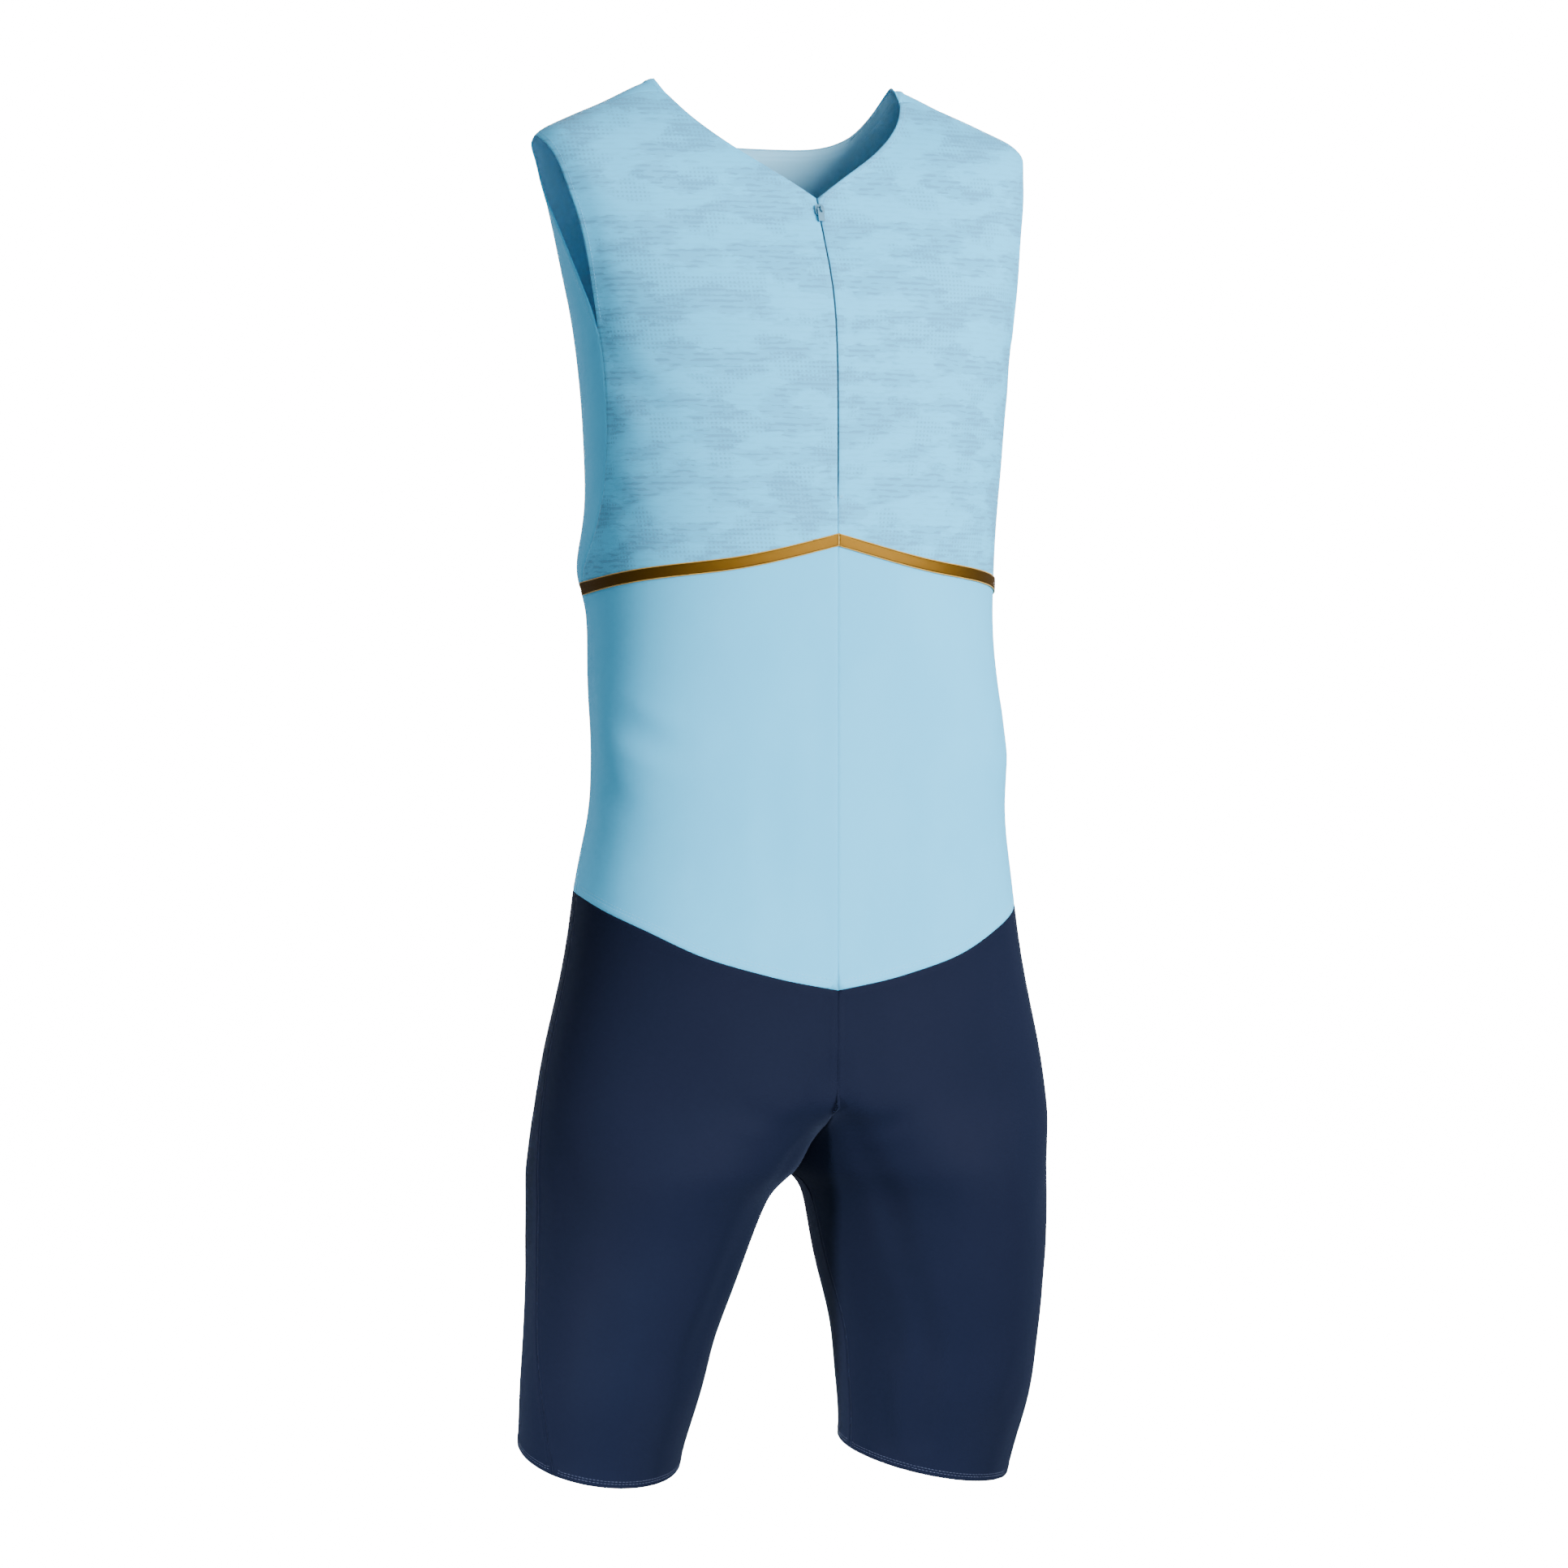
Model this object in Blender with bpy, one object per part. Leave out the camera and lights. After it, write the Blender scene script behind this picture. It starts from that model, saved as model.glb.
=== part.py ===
"""A sleeveless athletics bodysuit with a half zip, filled out as when it is worn.

The frame is in metres, +Z up. The front faces -Y and the wearer's right is -X. The origin lies between the two
highest points of the neck edge, where the wearer's shoulders hold the suit. Sizes are in millimetres.

The cloth lies on a general figure. Its shape is read from short tables: TORSO has one row for each level of
the body, LEG one for each level of a leg. A place on the figure is given by its depth, which is how far it lies
below the shoulders, and its turn, which is 0 at the centre front, 1 at the side and 2 at the centre back. On a
leg the turn is 0 and 2 at the inseam. A turn of 0.5 is half-way across the front.

Every panel is a wall spanned between its four seam lines. Right and left are the wearer's.
"""
import math
from bisect import bisect_right
from collections import namedtuple

import bmesh
import bpy
import numpy as np
from mathutils import Matrix, Vector

MM = 0.001
RIGHT, LEFT = -1, 1
SIDES = {RIGHT: "right", LEFT: "left"}

# Cloth
WALL = 1.5                # thickness of every panel
SEAM_GAP = 0.3            # between two panels at their seam
TAPE_WALL = 1.0           # thickness of the gold tape and the zip tapes
TAPE_WIDTH = 8.5          # gold tape
LIFT = 0.45               # between a panel and what lies on it

# Zip
NECK_POINT = 93           # depth of the V's point
ZIP_END = 304             # depth of the zip's lower end
ZIP_SLIT = 1.2            # between the two front edges along the zip
ZIP_TAPE_WIDTH = 12
COIL_WIDTH = 4.4
COIL_WALL = 1.4
SLIDER_DEPTH = 103        # depth of the slider's middle
PLATE = (6.8, 8.6, 1.5)   # slider's front plate: across, along, thick
STEM = (0.6, 2.4)         # slider's stem through the slit: across, along
BACK_PLATE = (5.0, 3.0, 1.0)
ARCH_WIDTH, ARCH_HALF_LENGTH, ARCH_HEIGHT, ARCH_BAR = 1.2, 1.9, 3.1, 0.8
TAB_WIDTH, TAB_LENGTH, TAB_WALL = 4.6, 9.6, 0.9
TAB_BAR, TAB_WINDOW = 1.0, (2.0, 3.0)   # crossbar, and the window's width and far end from the hinge
TAB_AXIS_HEIGHT = 1.2     # the hinge, above the slider's front plate
TAB_LEAN = 6              # degrees that the tab leans towards the cloth

# The figure
Section = namedtuple("Section", "depth half_width middle front back square")
TORSO = [
    Section(0, 92, 0, -2, 2, 2.6),
    Section(8, 109, -2, -20, 8, 2.8),
    Section(20, 131, -4, -36, 13, 3.0),
    Section(32, 158, -6, -49, 17, 3.0),
    Section(46, 183.5, -10, -63, 21, 3.0),
    Section(68, 182, -20, -81, 30, 3.0),
    Section(92, 178, -31, -94, 39, 2.9),
    Section(118, 172.5, -37, -107, 46, 2.8),
    Section(150, 167, -42, -125, 50, 2.6),
    Section(182, 162, -46, -135, 51, 2.4),
    Section(236, 156.5, -48, -139, 49, 2.3),
    Section(300, 152.5, -43, -139, 42, 2.3),
    Section(350, 150, -38, -139, 37, 2.3),
    Section(400, 150, -36, -139, 33, 2.3),
    Section(440, 152, -45, -139, 31, 2.3),
    Section(485, 154, -64, -139, 30, 2.3),
    Section(530, 154, -56, -139, 33, 2.3),
    Section(570, 161, -48, -139, 39, 2.3),
    Section(640, 170.5, -49, -139, 50, 2.3),
    Section(700, 185, -48, -139, 62, 2.3),
    Section(750, 191.5, -48, -139, 72, 2.3),
    Section(790, 194, -45, -139, 80, 2.3),
]
Ring = namedtuple("Ring", "depth inner outer middle half_depth")
LEG = [
    Ring(736, 0, 190.5, -38, 103),
    Ring(786, 0, 193.5, -34, 102),
    Ring(790, 10, 193.5, -33, 101),
    Ring(798, 17, 193, -32, 100),
    Ring(812, 22, 192.5, -29, 98),
    Ring(836, 29, 193, -25, 94),
    Ring(860, 36, 192, -21, 90),
    Ring(884, 44, 192, -17, 86),
    Ring(908, 51, 191.5, -11, 82),
    Ring(932, 54.5, 191.5, -5, 79),
    Ring(956, 59, 190.5, 2, 75),
    Ring(980, 63.5, 188, 13, 71),
    Ring(1030, 68, 183, 34, 66),
]
FORK_TOP, CROTCH = 737, 786        # the torso turns into two legs between these depths
TOE_OUT = 8                        # degrees that each leg turns out
TOE_OUT_OVER = 120                 # depth over which it does so
FULLER = {RIGHT: 0.975, LEFT: 1.04}     # how full the two legs are as worn
FULLER_OVER = 60                   # depth over which they become so

# The bodice stands off at the side just above its lower seam
FLARE, FLARE_DEPTH, FLARE_ABOVE, FLARE_BELOW = 9.5, 356, 30, 20
FLARE_MIDDLE, FLARE_REACH = -8, 34      # its middle and reach from front to back

# Seam lines, as places on the figure
Place = namedtuple("Place", "turn depth")
CHEVRON = [Place(0, 337.5), Place(0.22, 342), Place(0.36, 348.5), Place(0.5, 355), Place(0.75, 361.5),
           Place(0.93, 367), Place(1.034, 370), Place(1.5, 368), Place(2, 364)]
WAIST = [Place(0, 654), Place(0.27, 649), Place(0.43, 639.5), Place(0.55, 630), Place(0.7, 612),
         Place(0.82, 601), Place(0.94, 591), Place(1.05, 585), Place(1.3, 578), Place(2, 570)]
Side = namedtuple("Side", "depth turn")
SIDE_SEAM = [Side(190, 0.893), Side(210, 0.886), Side(230, 0.884), Side(250, 0.888), Side(270, 0.893),
             Side(290, 0.904), Side(310, 0.928), Side(330, 0.964), Side(350, 1.002), Side(370, 1.034),
             Side(410, 1.032), Side(450, 1.057), Side(490, 1.08), Side(520, 1.06), Side(550, 1.029),
             Side(590, 1.008), Side(700, 1.004), Side(737, 1.0), Side(760, 0.984), Side(786, 0.962),
             Side(845, 0.932), Side(882, 0.909), Side(931, 0.85), Side(984, 0.769), Side(1030, 0.71)]
NeckEdge = namedtuple("NeckEdge", "depth across")
FRONT_NECK = [NeckEdge(0, 92), NeckEdge(14, 89), NeckEdge(25, 83.5), NeckEdge(38, 74), NeckEdge(57, 53),
              NeckEdge(74, 28), NeckEdge(87, 8), NeckEdge(NECK_POINT, 0)]
BackNeck = namedtuple("BackNeck", "across depth")
YOKE = [BackNeck(0, 63), BackNeck(40, 61), BackNeck(65, 51), BackNeck(83, 35), BackNeck(100, 26),
        BackNeck(120, 32), BackNeck(140, 41), BackNeck(160, 52), BackNeck(170, 60)]
BACK_NECK = [BackNeck(0, 46.5), BackNeck(22, 46.3), BackNeck(42, 45.5), BackNeck(53, 43), BackNeck(65, 37.5),
             BackNeck(77, 27.5), BackNeck(87, 12), BackNeck(92, 0)]
ArmEdge = namedtuple("ArmEdge", "depth y")
ARM_FRONT = [ArmEdge(46, -11), ArmEdge(52, -30), ArmEdge(68, -46), ArmEdge(87, -56), ArmEdge(103, -63),
             ArmEdge(129, -70), ArmEdge(151, -73), ArmEdge(171, -74), ArmEdge(190, -75)]
ARM_BACK = [ArmEdge(46, -11), ArmEdge(55, -5), ArmEdge(66, -4), ArmEdge(82, -9), ArmEdge(100, -24),
            ArmEdge(127, -43), ArmEdge(150, -58), ArmEdge(174, -70), ArmEdge(190, -75)]
SHOULDER = [Place(0.65, 14), Place(0.79, 13), Place(0.88, 21), Place(0.95, 33), Place(0.995, 46)]
ARM_PIT, ARM_MIDDLE, ARM_HIGH, SHOULDER_TIP = 190, 130, 67, 46
FRONT_MIDDLE = 175            # the level at the centre that belongs to the arm pit

# Hems, as tilted planes: the depth at the leg's middle, and how much it grows per mm outwards and backwards
Hem = namedtuple("Hem", "depth outwards backwards")
HEM = {RIGHT: Hem(994, -0.05, -0.33), LEFT: Hem(1003, 0.153, -0.2)}
HEM_MIDDLE = (124, 10)

# How many cells each panel has across and along
ACROSS = 11                       # of the front panels, and of the shoulder seam
NECK_BACK, NECK_OVER = 6, 3       # up to the neck edge's highest point, and on to the shoulder seam
BACK_ACROSS = NECK_BACK + NECK_OVER + ACROSS
BODICE_LOW, BODICE_MIDDLE, BODICE_TOP = 9, 5, 8
BACK_ARM, BACK_TOP = 9, 5
BODY_ALONG, SEAT_ALONG, FORK_ALONG, LEG_ALONG = 12, 4, 5, 12
CROWD, TOP_CROWD = 1.25, 1.2      # how much closer the rows lie at the bodice's lower seam and at its top
FINE = 48                     # places on a line before it is shared out evenly
PRESS_FROM = 150              # above this depth, points are pressed on from one middle
NORMALS_HIGH, NORMALS_LOW = 150, 250    # depths between which the torso's normals give way to the panel's

# Colours
LIGHT_BLUE, BLUE_MELANGE = (0.41, 0.63, 0.76), (0.36, 0.57, 0.70)
NAVY, GOLD = (0.013, 0.024, 0.065), (0.45, 0.25, 0.05)
TAPE_BLUE, METAL_BLUE = (0.09, 0.17, 0.24), (0.2, 0.36, 0.46)


def read(table, key, warp=float):
    """The values of a table's row at key, on a smooth curve through its rows."""
    marks = [warp(row[0]) for row in table]
    at = min(max(warp(key), marks[0]), marks[-1])
    i = min(bisect_right(marks, at), len(marks) - 1) - 1
    step = marks[i + 1] - marks[i]
    f = (at - marks[i]) / step
    values = []
    for a, b, before, after in zip(table[i][1:], table[i + 1][1:], table[max(i - 1, 0)][1:],
                                   table[min(i + 2, len(table) - 1)][1:]):
        slope_a = (b - before) / (marks[i + 1] - marks[max(i - 1, 0)]) * step
        slope_b = (after - a) / (marks[min(i + 2, len(marks) - 1)] - marks[i]) * step
        values.append((2 * f ** 3 - 3 * f * f + 1) * a + (f ** 3 - 2 * f * f + f) * slope_a
                      + (3 * f * f - 2 * f ** 3) * b + (f ** 3 - f * f) * slope_b)
    return values if len(values) > 1 else values[0]


def eased(value, start, reach):
    """0 before start, 1 after start + reach."""
    return min(max((value - start) / reach, 0), 1)


# ---------------------------------------------------------------- the figure

def section(depth):
    """The torso's level section, read along the root of the depth, so that the shoulder closes round."""
    return Section(depth, *read(TORSO, depth, math.sqrt))


FINE_ROOTS = np.linspace(0, math.sqrt(TORSO[-1].depth), 600)
FINE_SECTIONS = np.array([section(root ** 2) for root in FINE_ROOTS])


def sections_at(depths):
    """The numbers of the sections at many depths."""
    return [np.interp(np.sqrt(depths), FINE_ROOTS, column) for column in FINE_SECTIONS.T]


def torso(turn, depth):
    s = section(depth)
    share = (1 - math.cos(math.pi * turn)) / 2
    reach = max(0, 1 - share ** s.square) ** (1 / s.square)
    return s.half_width * share, s.middle + ((s.front if turn < 1 else s.back) - s.middle) * reach


def leg(side, turn, depth):
    ring = Ring(depth, *read(LEG, depth))
    fuller = 1 + (FULLER[side] - 1) * eased(depth, CROTCH, FULLER_OVER)
    half_width, angle = (ring.outer - ring.inner) / 2, math.pi * turn
    across, along = -half_width * math.cos(angle) * fuller, -ring.half_depth * math.sin(angle) * fuller
    toe = math.radians(TOE_OUT) * eased(depth, CROTCH, TOE_OUT_OVER)
    return ((ring.inner + ring.outer) / 2 + across * math.cos(toe) - along * math.sin(toe),
            ring.middle + across * math.sin(toe) + along * math.cos(toe))


def flared(x, y, depth):
    """Moves places of the torso out where the bodice stands off."""
    reach = np.where(depth < FLARE_DEPTH, FLARE_ABOVE, FLARE_BELOW)
    out = (FLARE * np.exp(-((depth - FLARE_DEPTH) / reach) ** 2 - ((y - FLARE_MIDDLE) / FLARE_REACH) ** 2)
           * np.clip((np.abs(x) - 60) / 60, 0, 1))
    return x + np.copysign(0.93 * out, x), y + 0.35 * out


def place(side, turn, depth):
    """A point of the figure."""
    fork = eased(depth, FORK_TOP, CROTCH - FORK_TOP)
    x, y = torso(turn, depth) if fork < 1 else (0, 0)
    if fork > 0:
        leg_x, leg_y = leg(side, turn, depth)
        x, y = x + (leg_x - x) * fork, y + (leg_y - y) * fork
    x, y = flared(x, y, depth)
    return Vector((side * x, y, -depth))


def turn_at(depth, across=None, y=None, back=False):
    """The turn of the torso's place that lies this far from the centre, or that has this y."""
    s = section(depth)
    if across is not None:
        turn = math.acos(1 - 2 * min(across / s.half_width, 1)) / math.pi
        return 2 - turn if back else turn
    limit = s.front if y < s.middle else s.back
    reach = min((y - s.middle) / (limit - s.middle), 1)
    share = (1 - reach ** s.square) ** (1 / s.square)
    turn = math.acos(1 - 2 * share) / math.pi
    return turn if y < s.middle else 2 - turn


def reach_of(points):
    """Over 1 for points outside the torso, under 1 for points inside."""
    x, y, z = np.moveaxis(points, -1, 0)
    _, half_width, middle, front, back, square = sections_at(np.maximum(-z, 0))
    along = np.abs((y - middle) / (np.where(y < middle, front, back) - middle))
    return (np.abs(x) / half_width) ** square + along ** square


def torso_normals(points):
    """Unit normals of the torso."""
    steps = np.eye(3) * 0.05
    normals = np.stack([reach_of(points + step) - reach_of(points - step) for step in steps], axis=-1)
    return normals / np.linalg.norm(normals, axis=-1, keepdims=True)


def pressed(points):
    """The torso's points that lie in line with some points, seen from the middle of the body."""
    depth = np.maximum(-points[..., 2], PRESS_FROM)
    middle = np.stack([0 * depth, sections_at(depth)[2], -depth], axis=-1)
    near, far = np.full(depth.shape, 0.4), np.full(depth.shape, 1.8)
    for _ in range(24):
        reach = (near + far) / 2
        tried = middle + (points - middle) * reach[..., None]
        outside = (tried[..., 2] > 0) | (reach_of(tried) > 1)
        near, far = np.where(outside, near, reach), np.where(outside, reach, far)
    x, y, z = np.moveaxis(middle + (points - middle) * near[..., None], -1, 0)
    return np.stack([*flared(x, y, -z), z], axis=-1)


# ---------------------------------------------------------------- lines and grids

def even(cells, crowd=1.0):
    """Even shares of a line. With crowd over 1 they lie closer at its start."""
    return np.linspace(0, 1, cells + 1) ** crowd


def lengths(points):
    """How far along a line each of its points lies."""
    steps = np.linalg.norm(np.diff(np.array(points, float), axis=0), axis=1)
    return np.concatenate([[0], np.cumsum(steps)])


def shared_out(points, line, shares):
    """What line holds for each of some points, at the given shares of their length."""
    marks = lengths(points)
    return np.stack([np.interp(shares, marks / marks[-1], column) for column in np.transpose(line)], axis=1)


def seam(side, places, cells, crowd=1.0):
    """A seam line as evenly spaced places."""
    return shared_out([place(side, *p) for p in places], places, even(cells, crowd))


def joined(*lines):
    return np.concatenate([lines[0]] + [line[1:] for line in lines[1:]])


def spanned(side, bottom, top, inner, outer, across=0, press=False):
    """A grid of points of the figure between four seam lines that meet at their ends.

    Between the lines it follows turn and depth, or with press it goes straight and is pressed onto the torso.
    With across given, the points of each row are shared out evenly into that many cells.
    """
    lines = [np.array([place(side, *p) for p in line]) for line in (bottom, top, inner, outer)]
    heights = sum(lengths(line) / lengths(line)[-1] for line in lines[2:]) / 2
    if not press:
        lines = [np.array(line, float) ** (1, 0.5) for line in (bottom, top, inner, outer)]
    bottom, top, inner, outer = lines
    f, rows = np.linspace(0, 1, len(bottom))[:, None], []
    for v, start, stop in zip(heights, inner, outer):
        points = (1 - v) * bottom + v * top
        points = points + (1 - f) * (start - points[0]) + f * (stop - points[-1])
        if not press:
            points = [place(side, turn, root ** 2) for turn, root in points]
        elif 0 < v < 1:
            points[1:-1] = pressed(points[1:-1])
        rows.append(shared_out(points, points, even(across)) if across else points)
    return np.array(rows)


def normals_of(grid):
    """The grid's unit normals, away from the middle of the body or the leg. High up they are the torso's."""
    normals = np.cross(np.gradient(grid, axis=0, edge_order=2), np.gradient(grid, axis=1, edge_order=2))
    normals /= np.linalg.norm(normals, axis=2, keepdims=True)
    middle = grid.mean(axis=(0, 1)) * (0.5, 0, 1) + np.array((0, -45, 0))
    if ((grid - middle) * (1, 1, 0) * normals).sum() < 0:
        normals = -normals
    high = np.clip((grid[..., 2:] + NORMALS_LOW) / (NORMALS_LOW - NORMALS_HIGH), 0, 1)
    normals = (1 - high) * normals + high * torso_normals(grid)
    return normals / np.linalg.norm(normals, axis=2, keepdims=True)


def drawn_in(grid, amounts):
    """The grid with its four edges moved in, by the amounts for bottom, top, inner and outer edge."""
    normals, result = normals_of(grid), grid.copy()
    rows, columns = np.gradient(grid, axis=0, edge_order=2), np.gradient(grid, axis=1, edge_order=2)
    edges = ((0, slice(None)), (-1, slice(None)), (slice(None), 0), (slice(None), -1))
    for number, (edge, amount) in enumerate(zip(edges, amounts)):
        along = (columns if number < 2 else rows)[edge]
        inwards = (rows if number < 2 else columns)[edge] * (-1 if number % 2 else 1)
        across = np.cross(along, normals[edge])
        across *= np.sign((across * inwards).sum(axis=1))[:, None]
        across /= np.linalg.norm(across, axis=1)[:, None]
        result[edge] += across * np.reshape(amount, (-1, 1))
    return result


def mirrored(grid):
    """A half grid that starts on the centre line, with its mirror image joined to it."""
    return np.concatenate([grid[:, :0:-1] * (-1, 1, 1), grid], axis=1)


def wall(name, grid, thick, material, lift=0.0, side=0):
    """A closed wall whose outer face is the grid, moved out by lift, with its inner face lying thick below.

    With side given, it stays on its own side of the centre.
    """
    normals = normals_of(grid)
    rows, columns = grid.shape[:2]
    model = bmesh.new()
    skins = []
    for out in (lift, lift - thick):
        skin = grid + normals * out
        if side:
            skin[..., 0] = side * np.maximum(side * skin[..., 0], SEAM_GAP / 2)
        skins.append([[model.verts.new(p * MM) for p in line] for line in skin])
    outer, inner = skins
    for i in range(rows - 1):
        for j in range(columns - 1):
            model.faces.new((outer[i][j], outer[i][j + 1], outer[i + 1][j + 1], outer[i + 1][j]))
            model.faces.new((inner[i][j], inner[i + 1][j], inner[i + 1][j + 1], inner[i][j + 1]))
    rim = ([(0, j) for j in range(columns)] + [(i, columns - 1) for i in range(1, rows)]
           + [(rows - 1, j) for j in range(columns - 2, -1, -1)] + [(i, 0) for i in range(rows - 2, 0, -1)])
    for (i, j), (k, m) in zip(rim, rim[1:] + rim[:1]):
        model.faces.new((outer[i][j], inner[i][j], inner[k][m], outer[k][m]))
    bmesh.ops.recalc_face_normals(model, faces=model.faces)
    return finished(name, model, material)


def finished(name, model, material):
    """Makes the object of a modelled mesh."""
    mesh = bpy.data.meshes.new(name)
    model.to_mesh(mesh)
    model.free()
    mesh.shade_smooth()
    mesh.set_sharp_from_angle(angle=math.radians(40))
    mesh.materials.append(material)
    made = bpy.data.objects.new(name, mesh)
    bpy.context.scene.collection.objects.link(made)
    return made


def finish(name, colour, roughness, metallic=0.0):
    material = bpy.data.materials.new(name)
    material.use_nodes = True
    shader = material.node_tree.nodes["Principled BSDF"]
    shader.inputs["Base Color"].default_value = (*colour, 1)
    shader.inputs["Roughness"].default_value = roughness
    shader.inputs["Metallic"].default_value = metallic
    return material


# ---------------------------------------------------------------- seam lines

def across_line(level, start, stop):
    """Places from one turn to another, at the depth that level gives for each turn."""
    return [(turn, level(turn)) for turn in np.linspace(start, stop, FINE)]


def chevron(turn):
    return read(CHEVRON, turn)


def waist(turn):
    return read(WAIST, turn)


def centre_line(turn, low, high):
    return [(turn, depth) for depth in np.linspace(low, high, FINE)]


def side_line(low, high):
    return [(read(SIDE_SEAM, depth), depth) for depth in np.linspace(low, high, FINE)]


def arm_line(table, low, high):
    return [(turn_at(depth, y=read(table, depth)), depth) for depth in np.linspace(low, high, FINE)]


def shoulder_line():
    return across_line(lambda turn: read(SHOULDER, turn), SHOULDER[0].turn, SHOULDER[-1].turn)


def neck_line(low, high):
    """The front neck edge."""
    return [(turn_at(depth, across=read(FRONT_NECK, depth)), depth) for depth in np.linspace(low, high, FINE)]


def back_line(table):
    """A line across the back of the torso."""
    depths = [(x, read(table, x)) for x in np.linspace(0, table[-1].across, FINE)]
    return [(turn_at(depth, across=x, back=True), depth) for x, depth in depths]


# ---------------------------------------------------------------- panels

SIDE_AT_CHEVRON = CHEVRON[6]
EDGES = (SEAM_GAP / 2,) * 4


def front_upper(side, material):
    outer = joined(seam(side, side_line(SIDE_AT_CHEVRON.depth, ARM_PIT), BODICE_LOW, CROWD),
                   seam(side, arm_line(ARM_FRONT, ARM_PIT, ARM_MIDDLE), BODICE_MIDDLE),
                   seam(side, arm_line(ARM_FRONT, ARM_MIDDLE, SHOULDER_TIP), BODICE_TOP, 1 / TOP_CROWD))
    inner = joined(seam(side, centre_line(0, CHEVRON[0].depth, FRONT_MIDDLE), BODICE_LOW, CROWD),
                   seam(side, centre_line(0, FRONT_MIDDLE, NECK_POINT), BODICE_MIDDLE),
                   seam(side, neck_line(NECK_POINT, SHOULDER[0].depth), BODICE_TOP, 1 / TOP_CROWD))
    grid = spanned(side, seam(side, across_line(chevron, 0, SIDE_AT_CHEVRON.turn), FINE),
                   seam(side, shoulder_line(), FINE), inner, outer, ACROSS, True)
    on_zip = (inner[:, 1] < ZIP_END) & (inner[:, 0] < 0.01)
    along_centre = np.where(on_zip, ZIP_SLIT, SEAM_GAP) / 2
    drawn = drawn_in(grid, (SEAM_GAP / 2, SEAM_GAP / 2, along_centre, SEAM_GAP / 2))
    wall(f"front_upper_{SIDES[side]}", drawn, WALL, material)


def back_upper(material):
    """From the chevron to a yoke line behind the shoulder, and on over the shoulder to the seam in front."""
    bottom = seam(LEFT, across_line(chevron, 2, SIDE_AT_CHEVRON.turn), FINE)
    yoke = back_line(YOKE) + arm_line(ARM_BACK, ARM_HIGH, ARM_PIT)[:1]
    inner = seam(LEFT, centre_line(2, CHEVRON[-1].depth, YOKE[0].depth), BODICE_LOW + BACK_ARM, CROWD)
    outer = joined(seam(LEFT, side_line(SIDE_AT_CHEVRON.depth, ARM_PIT), BODICE_LOW, CROWD),
                   seam(LEFT, arm_line(ARM_BACK, ARM_PIT, ARM_HIGH), BACK_ARM))
    body = spanned(LEFT, bottom, seam(LEFT, yoke, FINE), inner, outer, BACK_ACROSS)
    top = joined(seam(LEFT, back_line(BACK_NECK), NECK_BACK),
                 seam(LEFT, neck_line(0, SHOULDER[0].depth), NECK_OVER),
                 seam(LEFT, shoulder_line(), ACROSS))
    over = spanned(LEFT, seam(LEFT, yoke, BACK_ACROSS), top,
                   seam(LEFT, centre_line(2, YOKE[0].depth, BACK_NECK[0].depth), BACK_TOP),
                   seam(LEFT, arm_line(ARM_BACK, ARM_HIGH, SHOULDER_TIP), BACK_TOP), press=True)
    wall("back_upper", drawn_in(mirrored(joined(body, over)), EDGES), WALL, material)


def between(side, centre, bottom, top, across, along, crowd=1.0):
    """A grid between two level lines, from the centre line to the side seam."""
    ends = []
    for level in (bottom, top):
        side_turn = 1.0
        for _ in range(4):
            side_turn = read(SIDE_SEAM, level(side_turn))
        ends.append(side_turn)
    low, high = (seam(side, across_line(level, centre, end), FINE) for level, end in zip((bottom, top), ends))
    return spanned(side, low, high, seam(side, centre_line(centre, low[0][1], high[0][1]), along, crowd),
                   seam(side, side_line(low[-1][1], high[-1][1]), along, crowd), across)


def front_lower(side, material):
    grid = between(side, 0, waist, chevron, ACROSS, BODY_ALONG, 1 / CROWD)
    wall(f"front_lower_{SIDES[side]}", drawn_in(grid, EDGES), WALL, material)


def back_lower(material):
    grid = between(LEFT, 2, waist, chevron, BACK_ACROSS, BODY_ALONG, 1 / CROWD)
    wall("back_lower", drawn_in(mirrored(grid), EDGES), WALL, material)


def hem_depth(side, turn):
    hem, depth = HEM[side], HEM[side].depth
    for _ in range(4):
        x, y, _ = place(side, turn, depth)
        depth = hem.depth + hem.outwards * (abs(x) - HEM_MIDDLE[0]) + hem.backwards * (y - HEM_MIDDLE[1])
    return depth


def shorts(side, face, centre, across, material):
    """A front or back panel of the shorts, from the hem through the fork to the waist seam."""
    thigh = between(side, centre, lambda turn: hem_depth(side, turn), lambda turn: CROTCH, across, LEG_ALONG)
    fork = between(side, centre, lambda turn: CROTCH, lambda turn: FORK_TOP, across, FORK_ALONG)
    seat = between(side, centre, lambda turn: FORK_TOP, waist, across, SEAT_ALONG)
    grid = joined(thigh, fork, seat)
    wall(f"shorts_{face}_{SIDES[side]}", drawn_in(grid, (0, SEAM_GAP / 2, SEAM_GAP / 2, SEAM_GAP / 2)),
         WALL, material, side=side)


# ---------------------------------------------------------------- tapes and zip

def gold_tape(side, material):
    """Over the bodice seam, from the centre to the side seam."""
    half, rows = TAPE_WIDTH / 2, []
    for shift in (half, 0, -half):
        line = across_line(lambda turn: chevron(turn) + shift, 0, SIDE_AT_CHEVRON.turn)
        points = [place(side, *p) for p in line]
        rows.append(shared_out(points, points, even(ACROSS)))
    drawn = drawn_in(np.array(rows), (0, 0, SEAM_GAP / 2, SEAM_GAP))
    wall(f"gold_tape_{SIDES[side]}", drawn, TAPE_WALL, material, LIFT + TAPE_WALL)


def zip_strip(name, low, high, edges, behind, thick, material):
    """A strip behind the front edges, from depth low up to high, between two distances from the centre."""
    rows = []
    for depth in np.linspace(low, high, 15):
        rows.append([place(math.copysign(1, x), turn_at(depth, across=abs(x)), depth) for x in edges])
    wall(name, np.array(rows, float), thick, material, -behind)


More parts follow.
